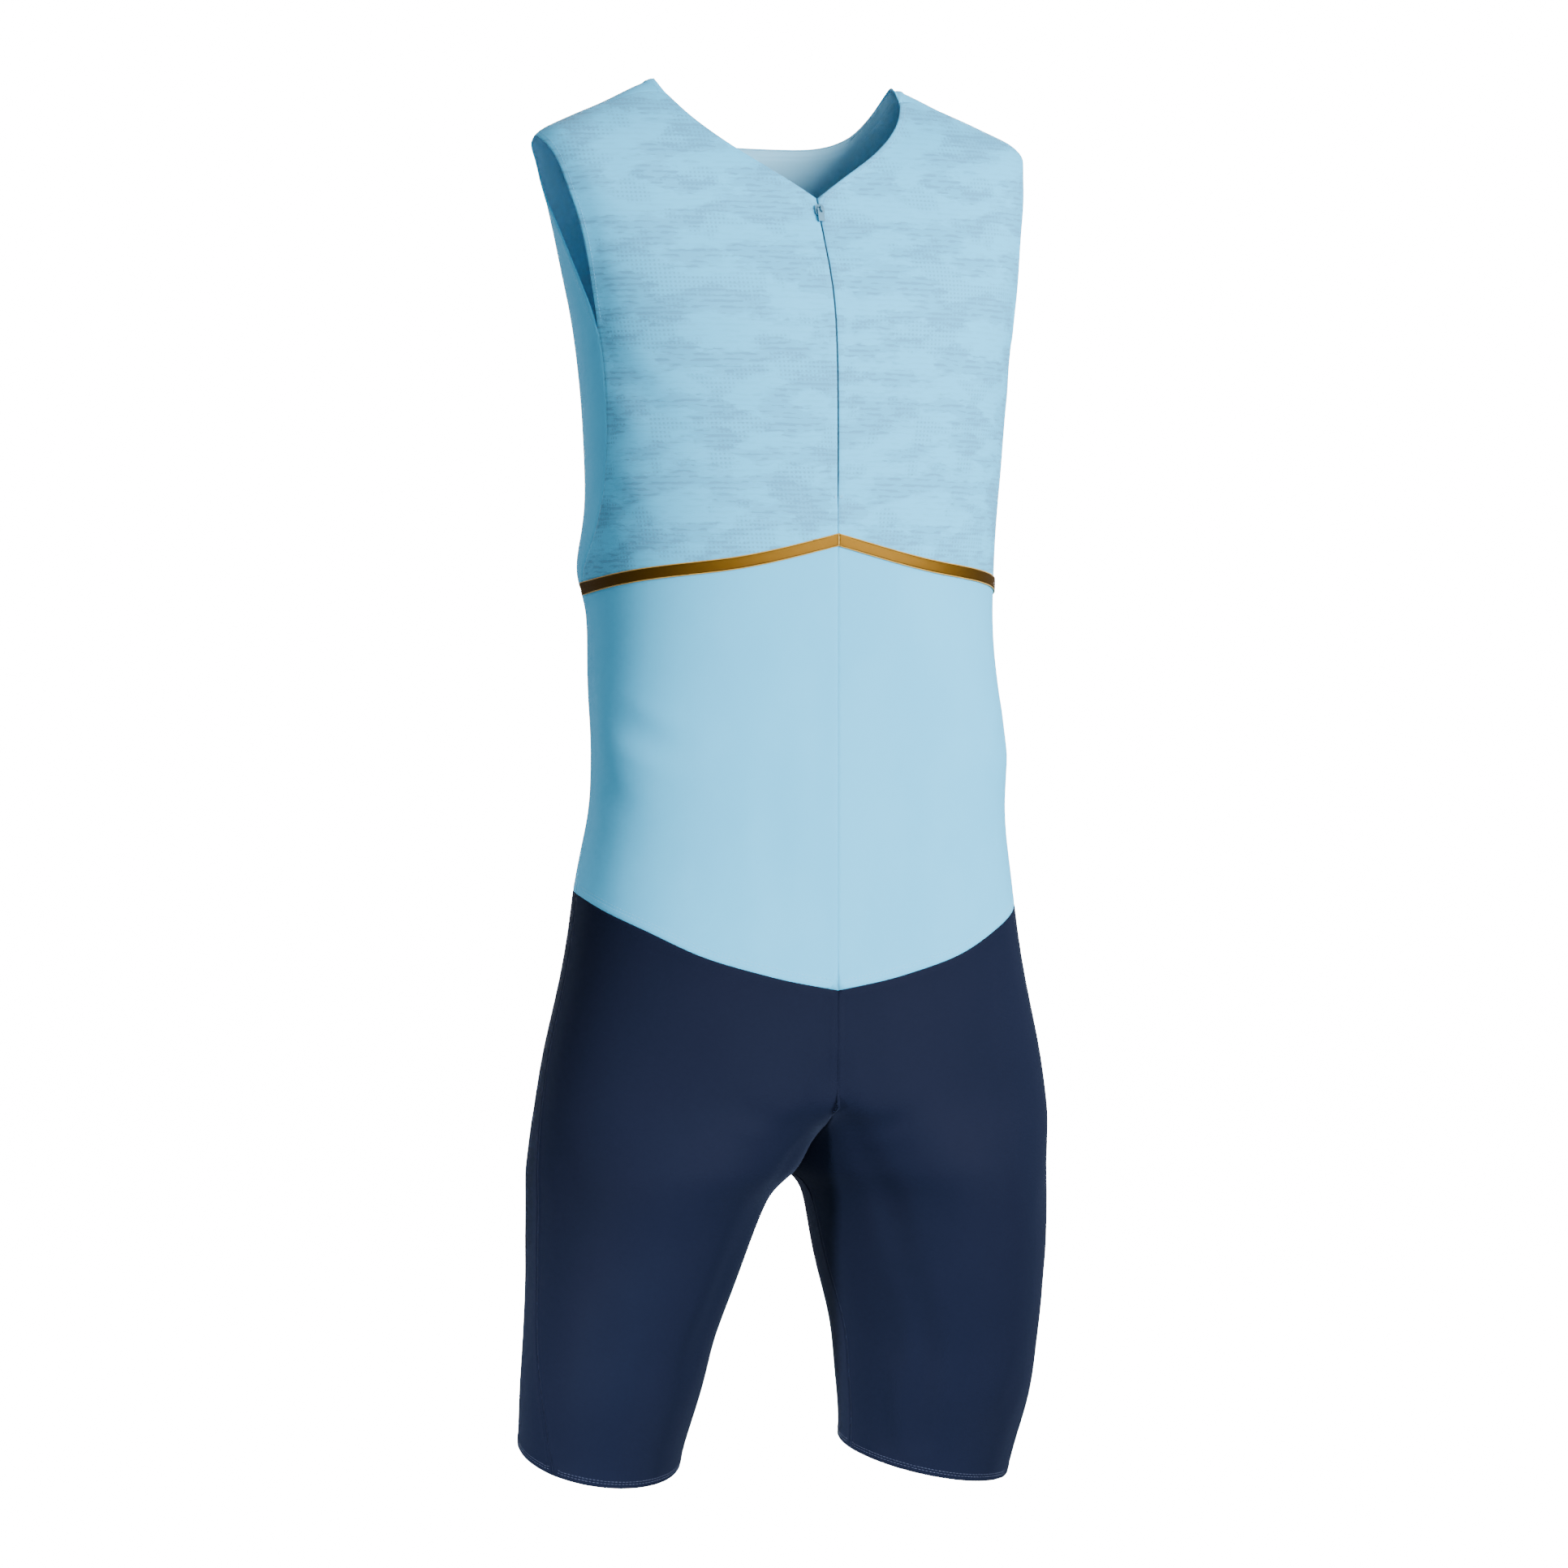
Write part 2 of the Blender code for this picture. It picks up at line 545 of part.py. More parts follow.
def zip_closure(tape_material, coil_material):
    behind = WALL + LIFT
    tape_top = SLIDER_DEPTH + STEM[1]
    for side in SIDES:
        edges = [side * x for x in np.linspace(SEAM_GAP / 2, ZIP_TAPE_WIDTH, 4)]
        zip_strip(f"zip_tape_{SIDES[side]}", ZIP_END + 12, tape_top, edges, behind, TAPE_WALL, tape_material)
    zip_strip("zip_coil", ZIP_END, tape_top, np.linspace(-COIL_WIDTH, COIL_WIDTH, 3) / 2,
              behind + TAPE_WALL + LIFT, COIL_WALL, coil_material)


def block(model, size, middle, bevel=0.0):
    """Adds a box with rounded edges to a mesh."""
    made = bmesh.ops.create_cube(model, size=1, matrix=Matrix.Translation(middle) @ Matrix.Diagonal((*size, 1)))
    if bevel:
        edges = list({e for v in made["verts"] for e in v.link_edges})
        bmesh.ops.bevel(model, geom=edges, offset=bevel, segments=2, profile=0.5, affect="EDGES")


def extruded(model, outline, half, hole=()):
    """Adds a plate to a mesh: an outline in X and Z, with a hole in it or none, thickened along Y."""
    edges = []
    for loop in (outline, hole):
        verts = [model.verts.new((x, -half, z)) for x, z in loop]
        edges += [model.edges.new(pair) for pair in zip(verts, verts[1:] + verts[:1])] if verts else []
    faces = [f for f in bmesh.ops.triangle_fill(model, edges=edges, use_beauty=True)["geom"]
             if isinstance(f, bmesh.types.BMFace)]
    moved = bmesh.ops.extrude_face_region(model, geom=faces)["geom"]
    back = [v for v in moved if isinstance(v, bmesh.types.BMVert)]
    bmesh.ops.translate(model, vec=(0, 2 * half, 0), verts=back)


def rounded(half_width, low, high, corner, steps=3):
    """The outline of a rectangle with round corners, in X and Z."""
    points = []
    for x, z, start in ((half_width, high, 0), (-half_width, high, 90), (-half_width, low, 180),
                        (half_width, low, 270)):
        middle_x, middle_z = x - math.copysign(corner, x), z - math.copysign(corner, z - (low + high) / 2)
        for step in range(steps + 1):
            angle = math.radians(start + 90 * step / steps)
            points.append((middle_x + corner * math.cos(angle), middle_z + corner * math.sin(angle)))
    return points


def slider(material):
    """The slider's plates, stem and arch. It is made upright: +Z up the zip, -Y away from the body."""
    across, along, thick = PLATE
    model = bmesh.new()
    extruded(model, rounded(across / 2, -along / 2, along / 2, 2.2), thick / 2)
    plate = bmesh_object("zip_slider", model, material)
    for size, middle in (
        ((STEM[0], WALL + 2 * LIFT + 1, STEM[1]), (0, thick / 2 + LIFT + WALL / 2, along / 2 - STEM[1])),
        ((BACK_PLATE[0], BACK_PLATE[2], BACK_PLATE[1]),
         (0, thick / 2 + 2 * LIFT + WALL + BACK_PLATE[2] / 2, along / 2 - STEM[1])),
    ):
        add_to(plate, size, middle)
    foot = ARCH_HALF_LENGTH - ARCH_BAR / 2
    post, rise = ARCH_HEIGHT + 0.3, -thick / 2 - ARCH_HEIGHT
    for end in (foot, -foot):
        add_to(plate, (ARCH_WIDTH, post, ARCH_BAR), (0, rise + post / 2, end))
    add_to(plate, (ARCH_WIDTH, ARCH_BAR, 2 * ARCH_HALF_LENGTH - 0.2), (0, rise + ARCH_BAR / 2, 0))
    return plate


def bmesh_object(name, model, material):
    bmesh.ops.recalc_face_normals(model, faces=model.faces)
    for vert in model.verts:
        vert.co *= MM
    return finished(name, model, material)


def add_to(target, size, middle):
    """Joins a box to an object with an exact union."""
    model = bmesh.new()
    block(model, size, middle, 0.12)
    for vert in model.verts:
        vert.co *= MM
    guide = finished(f"{target.name}_guide_{len(target.modifiers)}", model, target.data.materials[0])
    guide.parent = target
    guide.hide_render = True
    guide.display_type = "WIRE"
    union = target.modifiers.new("union", "BOOLEAN")
    union.operation = "UNION"
    union.object = guide
    union.solver = "EXACT"


def pull_tab(material):
    """The tab's frame: the hinge is its origin, it hangs along -Z."""
    model = bmesh.new()
    width, window_end = TAB_WINDOW
    corners = ((1, -TAB_BAR / 2), (-1, -TAB_BAR / 2), (-1, -window_end), (1, -window_end))
    hole = [(x * width / 2, z) for x, z in corners]
    extruded(model, rounded(TAB_WIDTH / 2, -TAB_LENGTH, TAB_BAR / 2, 0.5), TAB_WALL / 2, hole)
    return bmesh_object("zip_pull_tab", model, material)


def zip_hardware(material):
    """Places the slider on the slope of the front edges, and the tab on the slider's arch."""
    above, below = section(SLIDER_DEPTH - 5), section(SLIDER_DEPTH + 5)
    slope = math.atan2(above.front - below.front, below.depth - above.depth)
    away = Vector((0, -math.cos(slope), math.sin(slope)))
    base = Vector((0, section(SLIDER_DEPTH).front, -SLIDER_DEPTH))
    plate = slider(material)
    plate.location = (base + away * (LIFT + PLATE[2] / 2)) * MM
    plate.rotation_euler = (-slope, 0, 0)
    tab = pull_tab(material)
    tab.location = (base + away * (LIFT + PLATE[2] + TAB_AXIS_HEIGHT)) * MM
    tab.rotation_euler = (-slope + math.radians(TAB_LEAN), 0, 0)
    return tab


def main():
    for old in list(bpy.data.objects):
        bpy.data.objects.remove(old, do_unlink=True)
    melange = finish("blue_melange_jersey", BLUE_MELANGE, 0.75)
    blue = finish("blue_jersey", LIGHT_BLUE, 0.75)
    navy = finish("navy_jersey", NAVY, 0.7)
    gold = finish("gold_tape", GOLD, 0.35, 0.8)
    tape = finish("zip_tape", TAPE_BLUE, 0.7)
    coil = finish("zip_coil", TAPE_BLUE, 0.4)
    metal = finish("painted_metal", METAL_BLUE, 0.35, 0.6)
    for side in SIDES:
        front_upper(side, melange)
        front_lower(side, blue)
        shorts(side, "front", 0, ACROSS, navy)
        shorts(side, "back", 2, BACK_ACROSS, navy)
        gold_tape(side, gold)
    back_upper(blue)
    back_lower(blue)
    zip_closure(tape, coil)
    tab = zip_hardware(metal)
    bpy.context.view_layer.update()
    print("tab hinge at", tuple(round(x, 5) for x in tab.matrix_world.translation))


main()
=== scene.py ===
# %% [markdown]
# # A sleeveless athletics bodysuit with a half zip
#
# The suit is light stretch jersey, filled out as when it is worn. Its solids come in as a fixed frame. Each
# panel is then made again as a thin, smooth shell of cloth on its solid's outer face.
#
# Units are metres, +Z is up, the front faces -Y, and right and left are the wearer's.

# %% The frame
import math
from collections import namedtuple

import bmesh
import bpy
import numpy as np
from mathutils import Matrix, Vector
from mathutils.bvhtree import BVHTree
from mathutils.kdtree import KDTree


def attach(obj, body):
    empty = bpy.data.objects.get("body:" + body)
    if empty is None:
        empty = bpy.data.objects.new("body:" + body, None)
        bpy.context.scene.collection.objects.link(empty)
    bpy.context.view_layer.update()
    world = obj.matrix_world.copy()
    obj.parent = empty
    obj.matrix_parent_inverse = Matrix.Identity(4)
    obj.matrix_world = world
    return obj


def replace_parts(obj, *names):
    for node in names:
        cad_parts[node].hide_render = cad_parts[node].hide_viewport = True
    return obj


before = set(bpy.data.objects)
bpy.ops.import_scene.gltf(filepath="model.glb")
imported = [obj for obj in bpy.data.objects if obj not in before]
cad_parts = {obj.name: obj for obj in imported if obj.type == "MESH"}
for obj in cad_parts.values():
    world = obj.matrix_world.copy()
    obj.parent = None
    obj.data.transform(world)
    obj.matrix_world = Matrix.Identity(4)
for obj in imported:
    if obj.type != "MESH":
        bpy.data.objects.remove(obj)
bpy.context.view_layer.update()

MM = 0.001
SUIT = "suit"
SIDES = {-1: "right", 1: "left"}

# %% [markdown]
# ## The studio
#
# The photograph is a cut-out on white, taken level with the waist and from the wearer's right. A round
# cyclorama, a floor that curves up into a wall, gives that white from every side. It glows for the camera
# alone, because light from all round would wash the shading off the cloth.

# %% The cyclorama
FLOOR = -1.30
STUDIO_RADIUS, STUDIO_BEND, STUDIO_HEIGHT = 14.0, 3.0, 16.0


def cyclorama():
    """A profile from the middle of the floor out and up the wall, spun once round."""
    model = bmesh.new()
    points = [(0, FLOOR), (STUDIO_RADIUS - STUDIO_BEND, FLOOR)]
    for step in range(1, 9):
        angle = math.pi / 2 * step / 8
        points.append((STUDIO_RADIUS - STUDIO_BEND + STUDIO_BEND * math.sin(angle),
                       FLOOR + STUDIO_BEND * (1 - math.cos(angle))))
    points.append((STUDIO_RADIUS, STUDIO_HEIGHT))
    points.append((0, STUDIO_HEIGHT))
    verts = [model.verts.new((x, 0, z)) for x, z in points]
    edges = [model.edges.new(pair) for pair in zip(verts, verts[1:])]
    bmesh.ops.spin(model, geom=verts + edges, cent=(0, 0, 0), axis=(0, 0, 1), angle=2 * math.pi, steps=64,
                   use_merge=True)
    bmesh.ops.remove_doubles(model, verts=model.verts, dist=MM)
    mesh = bpy.data.meshes.new("cyclorama")
    model.to_mesh(mesh)
    model.free()
    mesh.shade_smooth()
    wall = bpy.data.objects.new("cyclorama", mesh)
    bpy.context.scene.collection.objects.link(wall)
    for ray in ("diffuse", "glossy", "transmission", "shadow"):
        setattr(wall, f"visible_{ray}", False)
    return wall


studio = cyclorama()
print("floor at", FLOOR)

# %% [markdown]
# The camera stands four metres off with a long lens, so that the suit's sides hardly converge, as in the
# photograph. The key light is large and soft and comes from the camera's right. The far side falls into
# shade, and a light from behind on the left draws the edge again. The navy legs swallow light, so a narrow
# beam lifts them alone. The lights at the edges leave no reflection, which would whiten the gold tape.

# %% Camera and lights
CAMERA_AT = Vector((-1.3942, -3.9618, -0.509))
LOOKS_ALONG = Vector((0.3338, 0.9426, 0.0)).normalized()
LENS, SENSOR = 133.04, 36.0
MIDDLE = Vector((0, -0.04, 0))
WHITE, WARM, COOL = (1.0, 1.0, 1.0), (1.0, 0.985, 0.965), (0.96, 0.98, 1.0)
WAIST_HEIGHT, LEG_HEIGHT = -0.5, -1.05
Light = namedtuple("Light", "name turn rise distance size power colour height spread gloss",
                   defaults=(WHITE, WAIST_HEIGHT, 180, True))
LIGHTS = [
    Light("key", 46, 14, 5.0, 2.6, 790, WARM),
    Light("front_fill", 10, -6, 5.4, 3.4, 130),
    Light("low_fill", -30, -28, 4.0, 2.4, 14),
    Light("legs", -44, 0, 2.6, 0.3, 2.6, height=LEG_HEIGHT, spread=21),
    Light("edge", -138, 6, 3.0, 1.4, 70, COOL, gloss=False),
    Light("far_edge", 118, 12, 3.2, 1.6, 40, (1.0, 0.98, 0.95), gloss=False),
    Light("behind", 180, 12, 5.0, 3.0, 560),
    Light("top", 20, 78, 2.6, 2.0, 16),
]


def facing(direction):
    """The turn that makes a camera or a lamp look along a direction."""
    return direction.to_track_quat("-Z", "Y").to_euler()


def set_camera():
    lens = bpy.data.cameras.new("camera")
    lens.lens, lens.sensor_width = LENS, SENSOR
    camera = bpy.data.objects.new("camera", lens)
    camera.location, camera.rotation_euler = CAMERA_AT, facing(LOOKS_ALONG)
    bpy.context.scene.collection.objects.link(camera)
    bpy.context.scene.camera = camera


def set_lights():
    """Angles are in degrees. Turn is counted from the camera towards its right, and rise from level."""
    for row in LIGHTS:
        lamp = bpy.data.lights.new(row.name, "AREA")
        lamp.shape, lamp.size, lamp.energy, lamp.color = "DISK", row.size, row.power, row.colour
        lamp.spread = math.radians(row.spread)
        way = Matrix.Rotation(math.radians(row.turn), 3, "Z") @ -LOOKS_ALONG
        way = way * math.cos(math.radians(row.rise)) + Vector((0, 0, math.sin(math.radians(row.rise))))
        light = bpy.data.objects.new(row.name, lamp)
        light.location = MIDDLE + Vector((0, 0, row.height)) + way * row.distance
        light.rotation_euler = facing(-way)
        light.visible_glossy = row.gloss
        bpy.context.scene.collection.objects.link(light)


set_camera()
set_lights()
print("lights:", [row.name for row in LIGHTS])

# %% [markdown]
# ## Shader maths
#
# A material is a small graph of nodes. Field wraps one socket of such a graph, so that a pattern can be
# written as a sum in Python: every + or * adds its Math node. Nodes.add makes any other node.

# %% Fields and nodes
class Field:
    """A value that varies over a surface."""

    def __init__(self, nodes, socket):
        self.nodes, self.socket = nodes, socket

    def math(self, operation, *others):
        return self.nodes.add("ShaderNodeMath", {"operation": operation}, dict(enumerate((self, *others))))

    def __add__(self, other):
        return self.math("ADD", other)

    __radd__ = __add__

    def __mul__(self, other):
        return self.math("MULTIPLY", other)

    __rmul__ = __mul__

    def __sub__(self, other):
        return self.math("SUBTRACT", other)

    def __rsub__(self, other):
        return self.nodes.add("ShaderNodeMath", {"operation": "SUBTRACT"}, {0: other, 1: self})

    def wave(self, period):
        """From 0 to 1 and back, once for each period."""
        return 0.5 + 0.5 * (self * (2 * math.pi / period)).math("SINE")

    def between(self, low, high):
        """0 below low, 1 above high, and smooth between."""
        return self.nodes.add("ShaderNodeMapRange", {"interpolation_type": "SMOOTHSTEP"},
                              {"Value": self, "From Min": low, "From Max": high})


class Nodes:
    """The graph of one material."""

    def __init__(self, name):
        self.material = bpy.data.materials.new(name)
        self.material.use_nodes = True
        self.tree = self.material.node_tree
        self.shader = self.tree.nodes["Principled BSDF"]

    def set(self, node, inputs):
        for key, value in inputs.items():
            if isinstance(value, Field):
                self.tree.links.new(value.socket, node.inputs[key])
            else:
                node.inputs[key].default_value = value

    def add(self, kind, settings=None, inputs=None, output=0):
        """Any node: its settings are set first, then the values or links of its sockets."""
        node = self.tree.nodes.new(kind)
        for key, value in (settings or {}).items():
            setattr(node, key, value)
        self.set(node, inputs or {})
        return Field(self, node.outputs[output])

    def blend(self, factor, a, b):
        """A mix of two colours."""
        return self.add("ShaderNodeMix", {"data_type": "RGBA"}, {0: factor, 6: a, 7: b}, 2)

    def parts(self, vector, *axes):
        """Some of the three parts of a place in metres, as millimetres."""
        split = self.add("ShaderNodeSeparateXYZ", None, {0: vector}).socket.node
        return [Field(self, split.outputs[axis]) * (1 / MM) for axis in axes]

    def pattern(self):
        """The two coordinates of the paper pattern, in millimetres."""
        return self.parts(self.add("ShaderNodeUVMap", {"uv_map": PATTERN}), 0, 1)

    def place(self):
        """The place on the object, in metres."""
        return self.add("ShaderNodeTexCoord", None, None, "Object")

    def grain(self, scale, detail=2.0):
        """Noise that fills space, with so many grains a metre."""
        return self.add("ShaderNodeTexNoise", None,
                        {"Vector": self.place(), "Scale": scale, "Detail": detail})

    def noise(self, across, along, detail=2.0, seed=0.0):
        """Soft noise of about 0.5, in two coordinates that are given in its own grains."""
        where = self.add("ShaderNodeCombineXYZ", None, {0: across, 1: along, 2: seed})
        return self.add("ShaderNodeTexNoise", None, {"Vector": where, "Scale": 1.0, "Detail": detail})

    def bump(self, height, distance, strength=1.0):
        normal = self.add("ShaderNodeBump", None,
                          {"Height": height, "Distance": distance, "Strength": strength})
        self.set(self.shader, {"Normal": normal})


PATTERN = "pattern"
print("shader maths ready")

# %% [markdown]
# ## Jersey
#
# Stretch jersey is a fine knit: columns of small V's, half a millimetre apart. From two metres off it shows
# only as a soft skin, so the knit goes into the bump. Elastane gives the cloth its pale sheen at glancing
# angles. The inner face is a lighter, greyer blue than the outside. That is painted light, and it lifts the
# shade inside the neck and the armholes. The pattern map lies on the flattened panel, so the knit runs
# straight up each piece as it was cut.

# %% Plain jersey
LIGHT_BLUE, LIGHT_BLUE_DEEP = (0.062, 0.455, 0.770, 1), (0.055, 0.425, 0.735, 1)
# the inner face: lighter and greyer than the outside, painted light for the shade inside the neck and
# armholes
INSIDE_PAINTED_LIGHT, INSIDE_PAINTED_LIGHT_DEEP = (0.200, 0.485, 0.690, 1), (0.185, 0.460, 0.660, 1)
NAVY, NAVY_DEEP = (0.0037, 0.0060, 0.0178, 1), (0.0032, 0.0054, 0.0166, 1)
PALE, DUSK = (0.60, 0.82, 1.0, 1), (0.22, 0.30, 0.52, 1)       # the tints of the sheen
WALE, COURSE = 0.62, 0.46        # millimetres between columns and between rows of the knit
Finish = namedtuple("Finish", "roughness shine sheen tint")
BLUE_FINISH = Finish(0.70, 0.12, 0.14, PALE)
NAVY_FINISH = Finish(0.72, 0.05, 0.10, DUSK)
INSIDE_FINISH = Finish(0.80, 0.10, 0.04, PALE)
SHEEN_ROUGHNESS = 0.45


def knit_height(nodes, u, v):
    """Columns of stitches with a small V in each row."""
    column = u.wave(WALE)
    return 0.65 * column + 0.35 * (v + 0.25 * column).wave(COURSE)


def fuzz_of(nodes, u, v):
    """The fine unevenness of the yarn."""
    return nodes.noise(u * 1.1, v * 0.9, 1.0, 9.0)


def finished(nodes, colour, fuzz, finish):
    """Sets the shader of a knit cloth."""
    nodes.set(nodes.shader, {
        "Base Color": colour, "Roughness": finish.roughness + 0.07 * (fuzz - 0.5),
        "Specular IOR Level": finish.shine, "Sheen Weight": finish.sheen,
        "Sheen Roughness": SHEEN_ROUGHNESS, "Sheen Tint": finish.tint})


def jersey(name, colour, deep, finish):
    nodes = Nodes(name)
    u, v = nodes.pattern()
    cloudy = nodes.noise(u * 0.016, v * 0.010, 3.0, 4.0).between(0.36, 0.66)
    fuzz = fuzz_of(nodes, u, v)
    finished(nodes, nodes.blend(0.75 * cloudy + 0.25 * fuzz, deep, colour), fuzz, finish)
    nodes.bump(knit_height(nodes, u, v), 0.00010, 0.55)
    return nodes.material


blue_jersey = jersey("blue_jersey_knit", LIGHT_BLUE, LIGHT_BLUE_DEEP, BLUE_FINISH)
navy_jersey = jersey("navy_jersey_knit", NAVY, NAVY_DEEP, NAVY_FINISH)
inside_painted_light = jersey("blue_jersey_inside_painted_light", INSIDE_PAINTED_LIGHT, INSIDE_PAINTED_LIGHT_DEEP, INSIDE_FINISH)
print("plain jersey:", blue_jersey.name, navy_jersey.name, inside_painted_light.name)

# %% [markdown]
# The upper front is a jacquard knit in two close blues. Some patches are plain, some are darker and carry
# short dashes, and some a fine grid of dots. Layers of noise decide where each lies, so the layout is this
# suit's own. The rows stay level round the chest, so up and down they follow the height on the suit, and
# across it the paper pattern.

# %% Jacquard jersey
JACQUARD_DEEP = (0.070, 0.290, 0.490, 1)
DASH_PITCH, DOT_PITCH = 4.1, 3.1     # millimetres


def jacquard():
    nodes = Nodes("jacquard_jersey_knit")
    u, v = nodes.pattern()
    level, = nodes.parts(nodes.place(), 2)
    ragged = 9.0 * (nodes.noise(u * 0.12, level * 0.35, 2.0, 11.0) - 0.5)
    patches = nodes.noise((u + 3.0 * ragged) * 0.022, (level + ragged) * 0.055, 3.0, 2.0)
    patches = patches.between(0.45, 0.56)
    dotted = nodes.noise(u * 0.024, level * 0.034, 3.0, 7.0).between(0.51, 0.58)
    drift = 2.6 * (nodes.noise(u * 0.05, level * 0.05, 2.0, 1.0) - 0.5)
    rows = (level + drift).wave(DASH_PITCH).between(0.30, 0.75)
    broken = nodes.noise(u * 0.09, level * 0.36, 2.0, 5.0).between(0.45, 0.55)
    dashes = rows * broken * (0.35 + 0.65 * patches)
    dots = u.wave(DOT_PITCH).between(0.35, 0.75) * level.wave(DOT_PITCH).between(0.35, 0.75) * dotted
    shade = (0.46 * patches + 0.54 * dashes + 0.18 * dotted + 0.55 * dots).math("MINIMUM", 1.0)
    finished(nodes, nodes.blend(shade, LIGHT_BLUE, JACQUARD_DEEP), fuzz_of(nodes, u, v), BLUE_FINISH)
    nodes.bump(0.30 * knit_height(nodes, u, v) + 0.70 * (1 - dashes) + 0.25 * (1 - dots), 0.00022, 0.6)
    return nodes.material


jacquard_jersey = jacquard()
print("jacquard dashes every", DASH_PITCH, "mm")

# %% [markdown]
# ## Tape, thread and metal
#
# The gold tape is woven with flat metallic yarn, so it is bright where it faces the lights and brown where
# it turns away. Thread is matt. The zip's slider is cast and painted darker than the cloth.

# %% Tape, thread and metal
GOLD, GOLD_DEEP = (0.120, 0.058, 0.003, 1), (0.050, 0.024, 0.001, 1)
GOLD_EDGE = (0.36, 0.22, 0.03, 1)
BLUE_THREAD, NAVY_THREAD = (0.10, 0.46, 0.74, 1), (0.016, 0.029, 0.075, 1)
ZIP_TAPE, ZIP_TAPE_DEEP = (0.16, 0.32, 0.42, 1), (0.10, 0.22, 0.30, 1)
PAINT, PAINT_DEEP = (0.07, 0.21, 0.32, 1), (0.05, 0.17, 0.27, 1)
NYLON, NYLON_DEEP = (0.13, 0.27, 0.36, 1), (0.09, 0.20, 0.28, 1)
WALL, WALL_GLOW = (0.9, 0.9, 0.9, 1), 16.0
AIR, AIR_GLOW = (0.93, 0.96, 1.0, 1), 0.28


def gold_tape_finish():
    nodes = Nodes("gold_tape_weave")
    u, v = nodes.pattern()
    ribs = (u + 0.5 * v).wave(0.7)
    weave = 0.6 * ribs + 0.4 * v.wave(0.5)
    nodes.set(nodes.shader, {"Base Color": nodes.blend(0.35 + 0.65 * weave, GOLD_DEEP, GOLD),
                             "Roughness": 0.44 + 0.12 * (1 - weave), "Metallic": 0.9})
    nodes.bump(weave, 0.00012, 0.5)
    return nodes.material


def thread(name, colour):
    nodes = Nodes(name)
    nodes.set(nodes.shader, {"Base Color": colour, "Roughness": 0.55 + 0.2 * nodes.grain(2500.0),
                             "Sheen Weight": 0.2})
    return nodes.material


def zip_tape_finish():
    nodes = Nodes("zip_tape_weave")
    x, z = nodes.parts(nodes.place(), 0, 2)
    weave = (x + z).wave(0.8) * (x - z).wave(0.8)
    nodes.set(nodes.shader, {"Base Color": nodes.blend(weave, ZIP_TAPE_DEEP, ZIP_TAPE),
                             "Roughness": 0.75 - 0.1 * weave})
    nodes.bump(weave, 0.0001, 0.5)
    return nodes.material


def painted_metal_finish():
    nodes = Nodes("painted_zinc")
    cast = nodes.grain(900.0, 3.0)
    nodes.set(nodes.shader, {"Base Color": nodes.blend(cast, PAINT_DEEP, PAINT),
                             "Roughness": 0.36 + 0.2 * cast, "Metallic": 0.15, "Coat Weight": 0.15})
    nodes.bump(cast, 0.00003, 0.4)
    return nodes.material


def coil_finish():
    nodes = Nodes("nylon_coil")
    cloudy = nodes.grain(400.0)
    nodes.set(nodes.shader, {"Base Color": nodes.blend(cloudy, NYLON_DEEP, NYLON),
                             "Roughness": 0.35 + 0.1 * cloudy})
    return nodes.material


def studio_finish():
    nodes = Nodes("studio_white")
    nodes.set(nodes.shader, {"Base Color": WALL, "Roughness": 1.0,
                             "Emission Color": (*WHITE, 1), "Emission Strength": WALL_GLOW})
    return nodes.material


gold = gold_tape_finish()
gold_thread = thread("gold_thread", GOLD_EDGE)
blue_thread = thread("light_blue_thread", BLUE_THREAD)
navy_thread = thread("navy_thread", NAVY_THREAD)
zip_tape = zip_tape_finish()
painted_metal = painted_metal_finish()
coil_nylon = coil_finish()
studio.data.materials.append(studio_finish())
world = bpy.data.worlds.new("studio_air")
world.use_nodes = True
air = world.node_tree.nodes["Background"].inputs
air["Color"].default_value, air["Strength"].default_value = AIR, AIR_GLOW
bpy.context.scene.world = world
print("finishes:", len(bpy.data.materials))

# %% [markdown]
# ## From solid to cloth
#
# A panel's solid is a wall with an outer face, an inner face and a narrow rim. Only the outer face is kept.
# The rim is known by its short edges, which are the wall's thickness. With the rim gone the wall falls into
# two, and the part that looks away from the body stays. Its loose triangles are joined back into the
# squares they came from, because squares subdivide smoothly and triangles don't.

# %% The outer skin of a panel
RIM_EDGE = 1.8 * MM              # the rim's faces are the only ones with an edge this short
SAME_POINT = 0.02 * MM
BODY_MIDDLE_Y = -45 * MM


def islands(model):
    """The mesh's separate parts, as lists of faces."""
    left, found = set(model.faces), []
    while left:
        front, part = [left.pop()], []
        while front:
            face = front.pop()
            part.append(face)
            for edge in face.edges:
                for other in edge.link_faces:
                    if other in left:
                        left.remove(other)
                        front.append(other)
        found.append(part)
    return found


def outwards(part):
    """How much a part looks away from the middle of the body or the leg."""
    middle = sum((face.calc_center_median() for face in part), Vector()) / len(part)
    middle = Vector((middle.x / 2, BODY_MIDDLE_Y, 0))
    total = 0
    for face in part:
        way = face.calc_center_median() - middle
        total += face.calc_area() * face.normal.dot(Vector((way.x, way.y, 0)))
    return total


def outer_skin(node):
    model = bmesh.new()
    model.from_mesh(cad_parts[node].data)
    bmesh.ops.remove_doubles(model, verts=model.verts, dist=SAME_POINT)
    rim = [face for face in model.faces if min(edge.calc_length() for edge in face.edges) < RIM_EDGE]
    bmesh.ops.delete(model, geom=rim, context="FACES")
    model.normal_update()
    kept = set(max(islands(model), key=outwards))
    bmesh.ops.delete(model, geom=[face for face in model.faces if face not in kept], context="FACES")
    triangles = len(model.faces)
    bmesh.ops.join_triangles(model, faces=model.faces, angle_face_threshold=math.radians(80),
                             angle_shape_threshold=math.radians(180), topology_influence=1.0)
    print(node, "skin:", triangles, "triangles,", len(model.faces), "faces,",
          sum(len(face.verts) == 3 for face in model.faces), "left over")
    return model


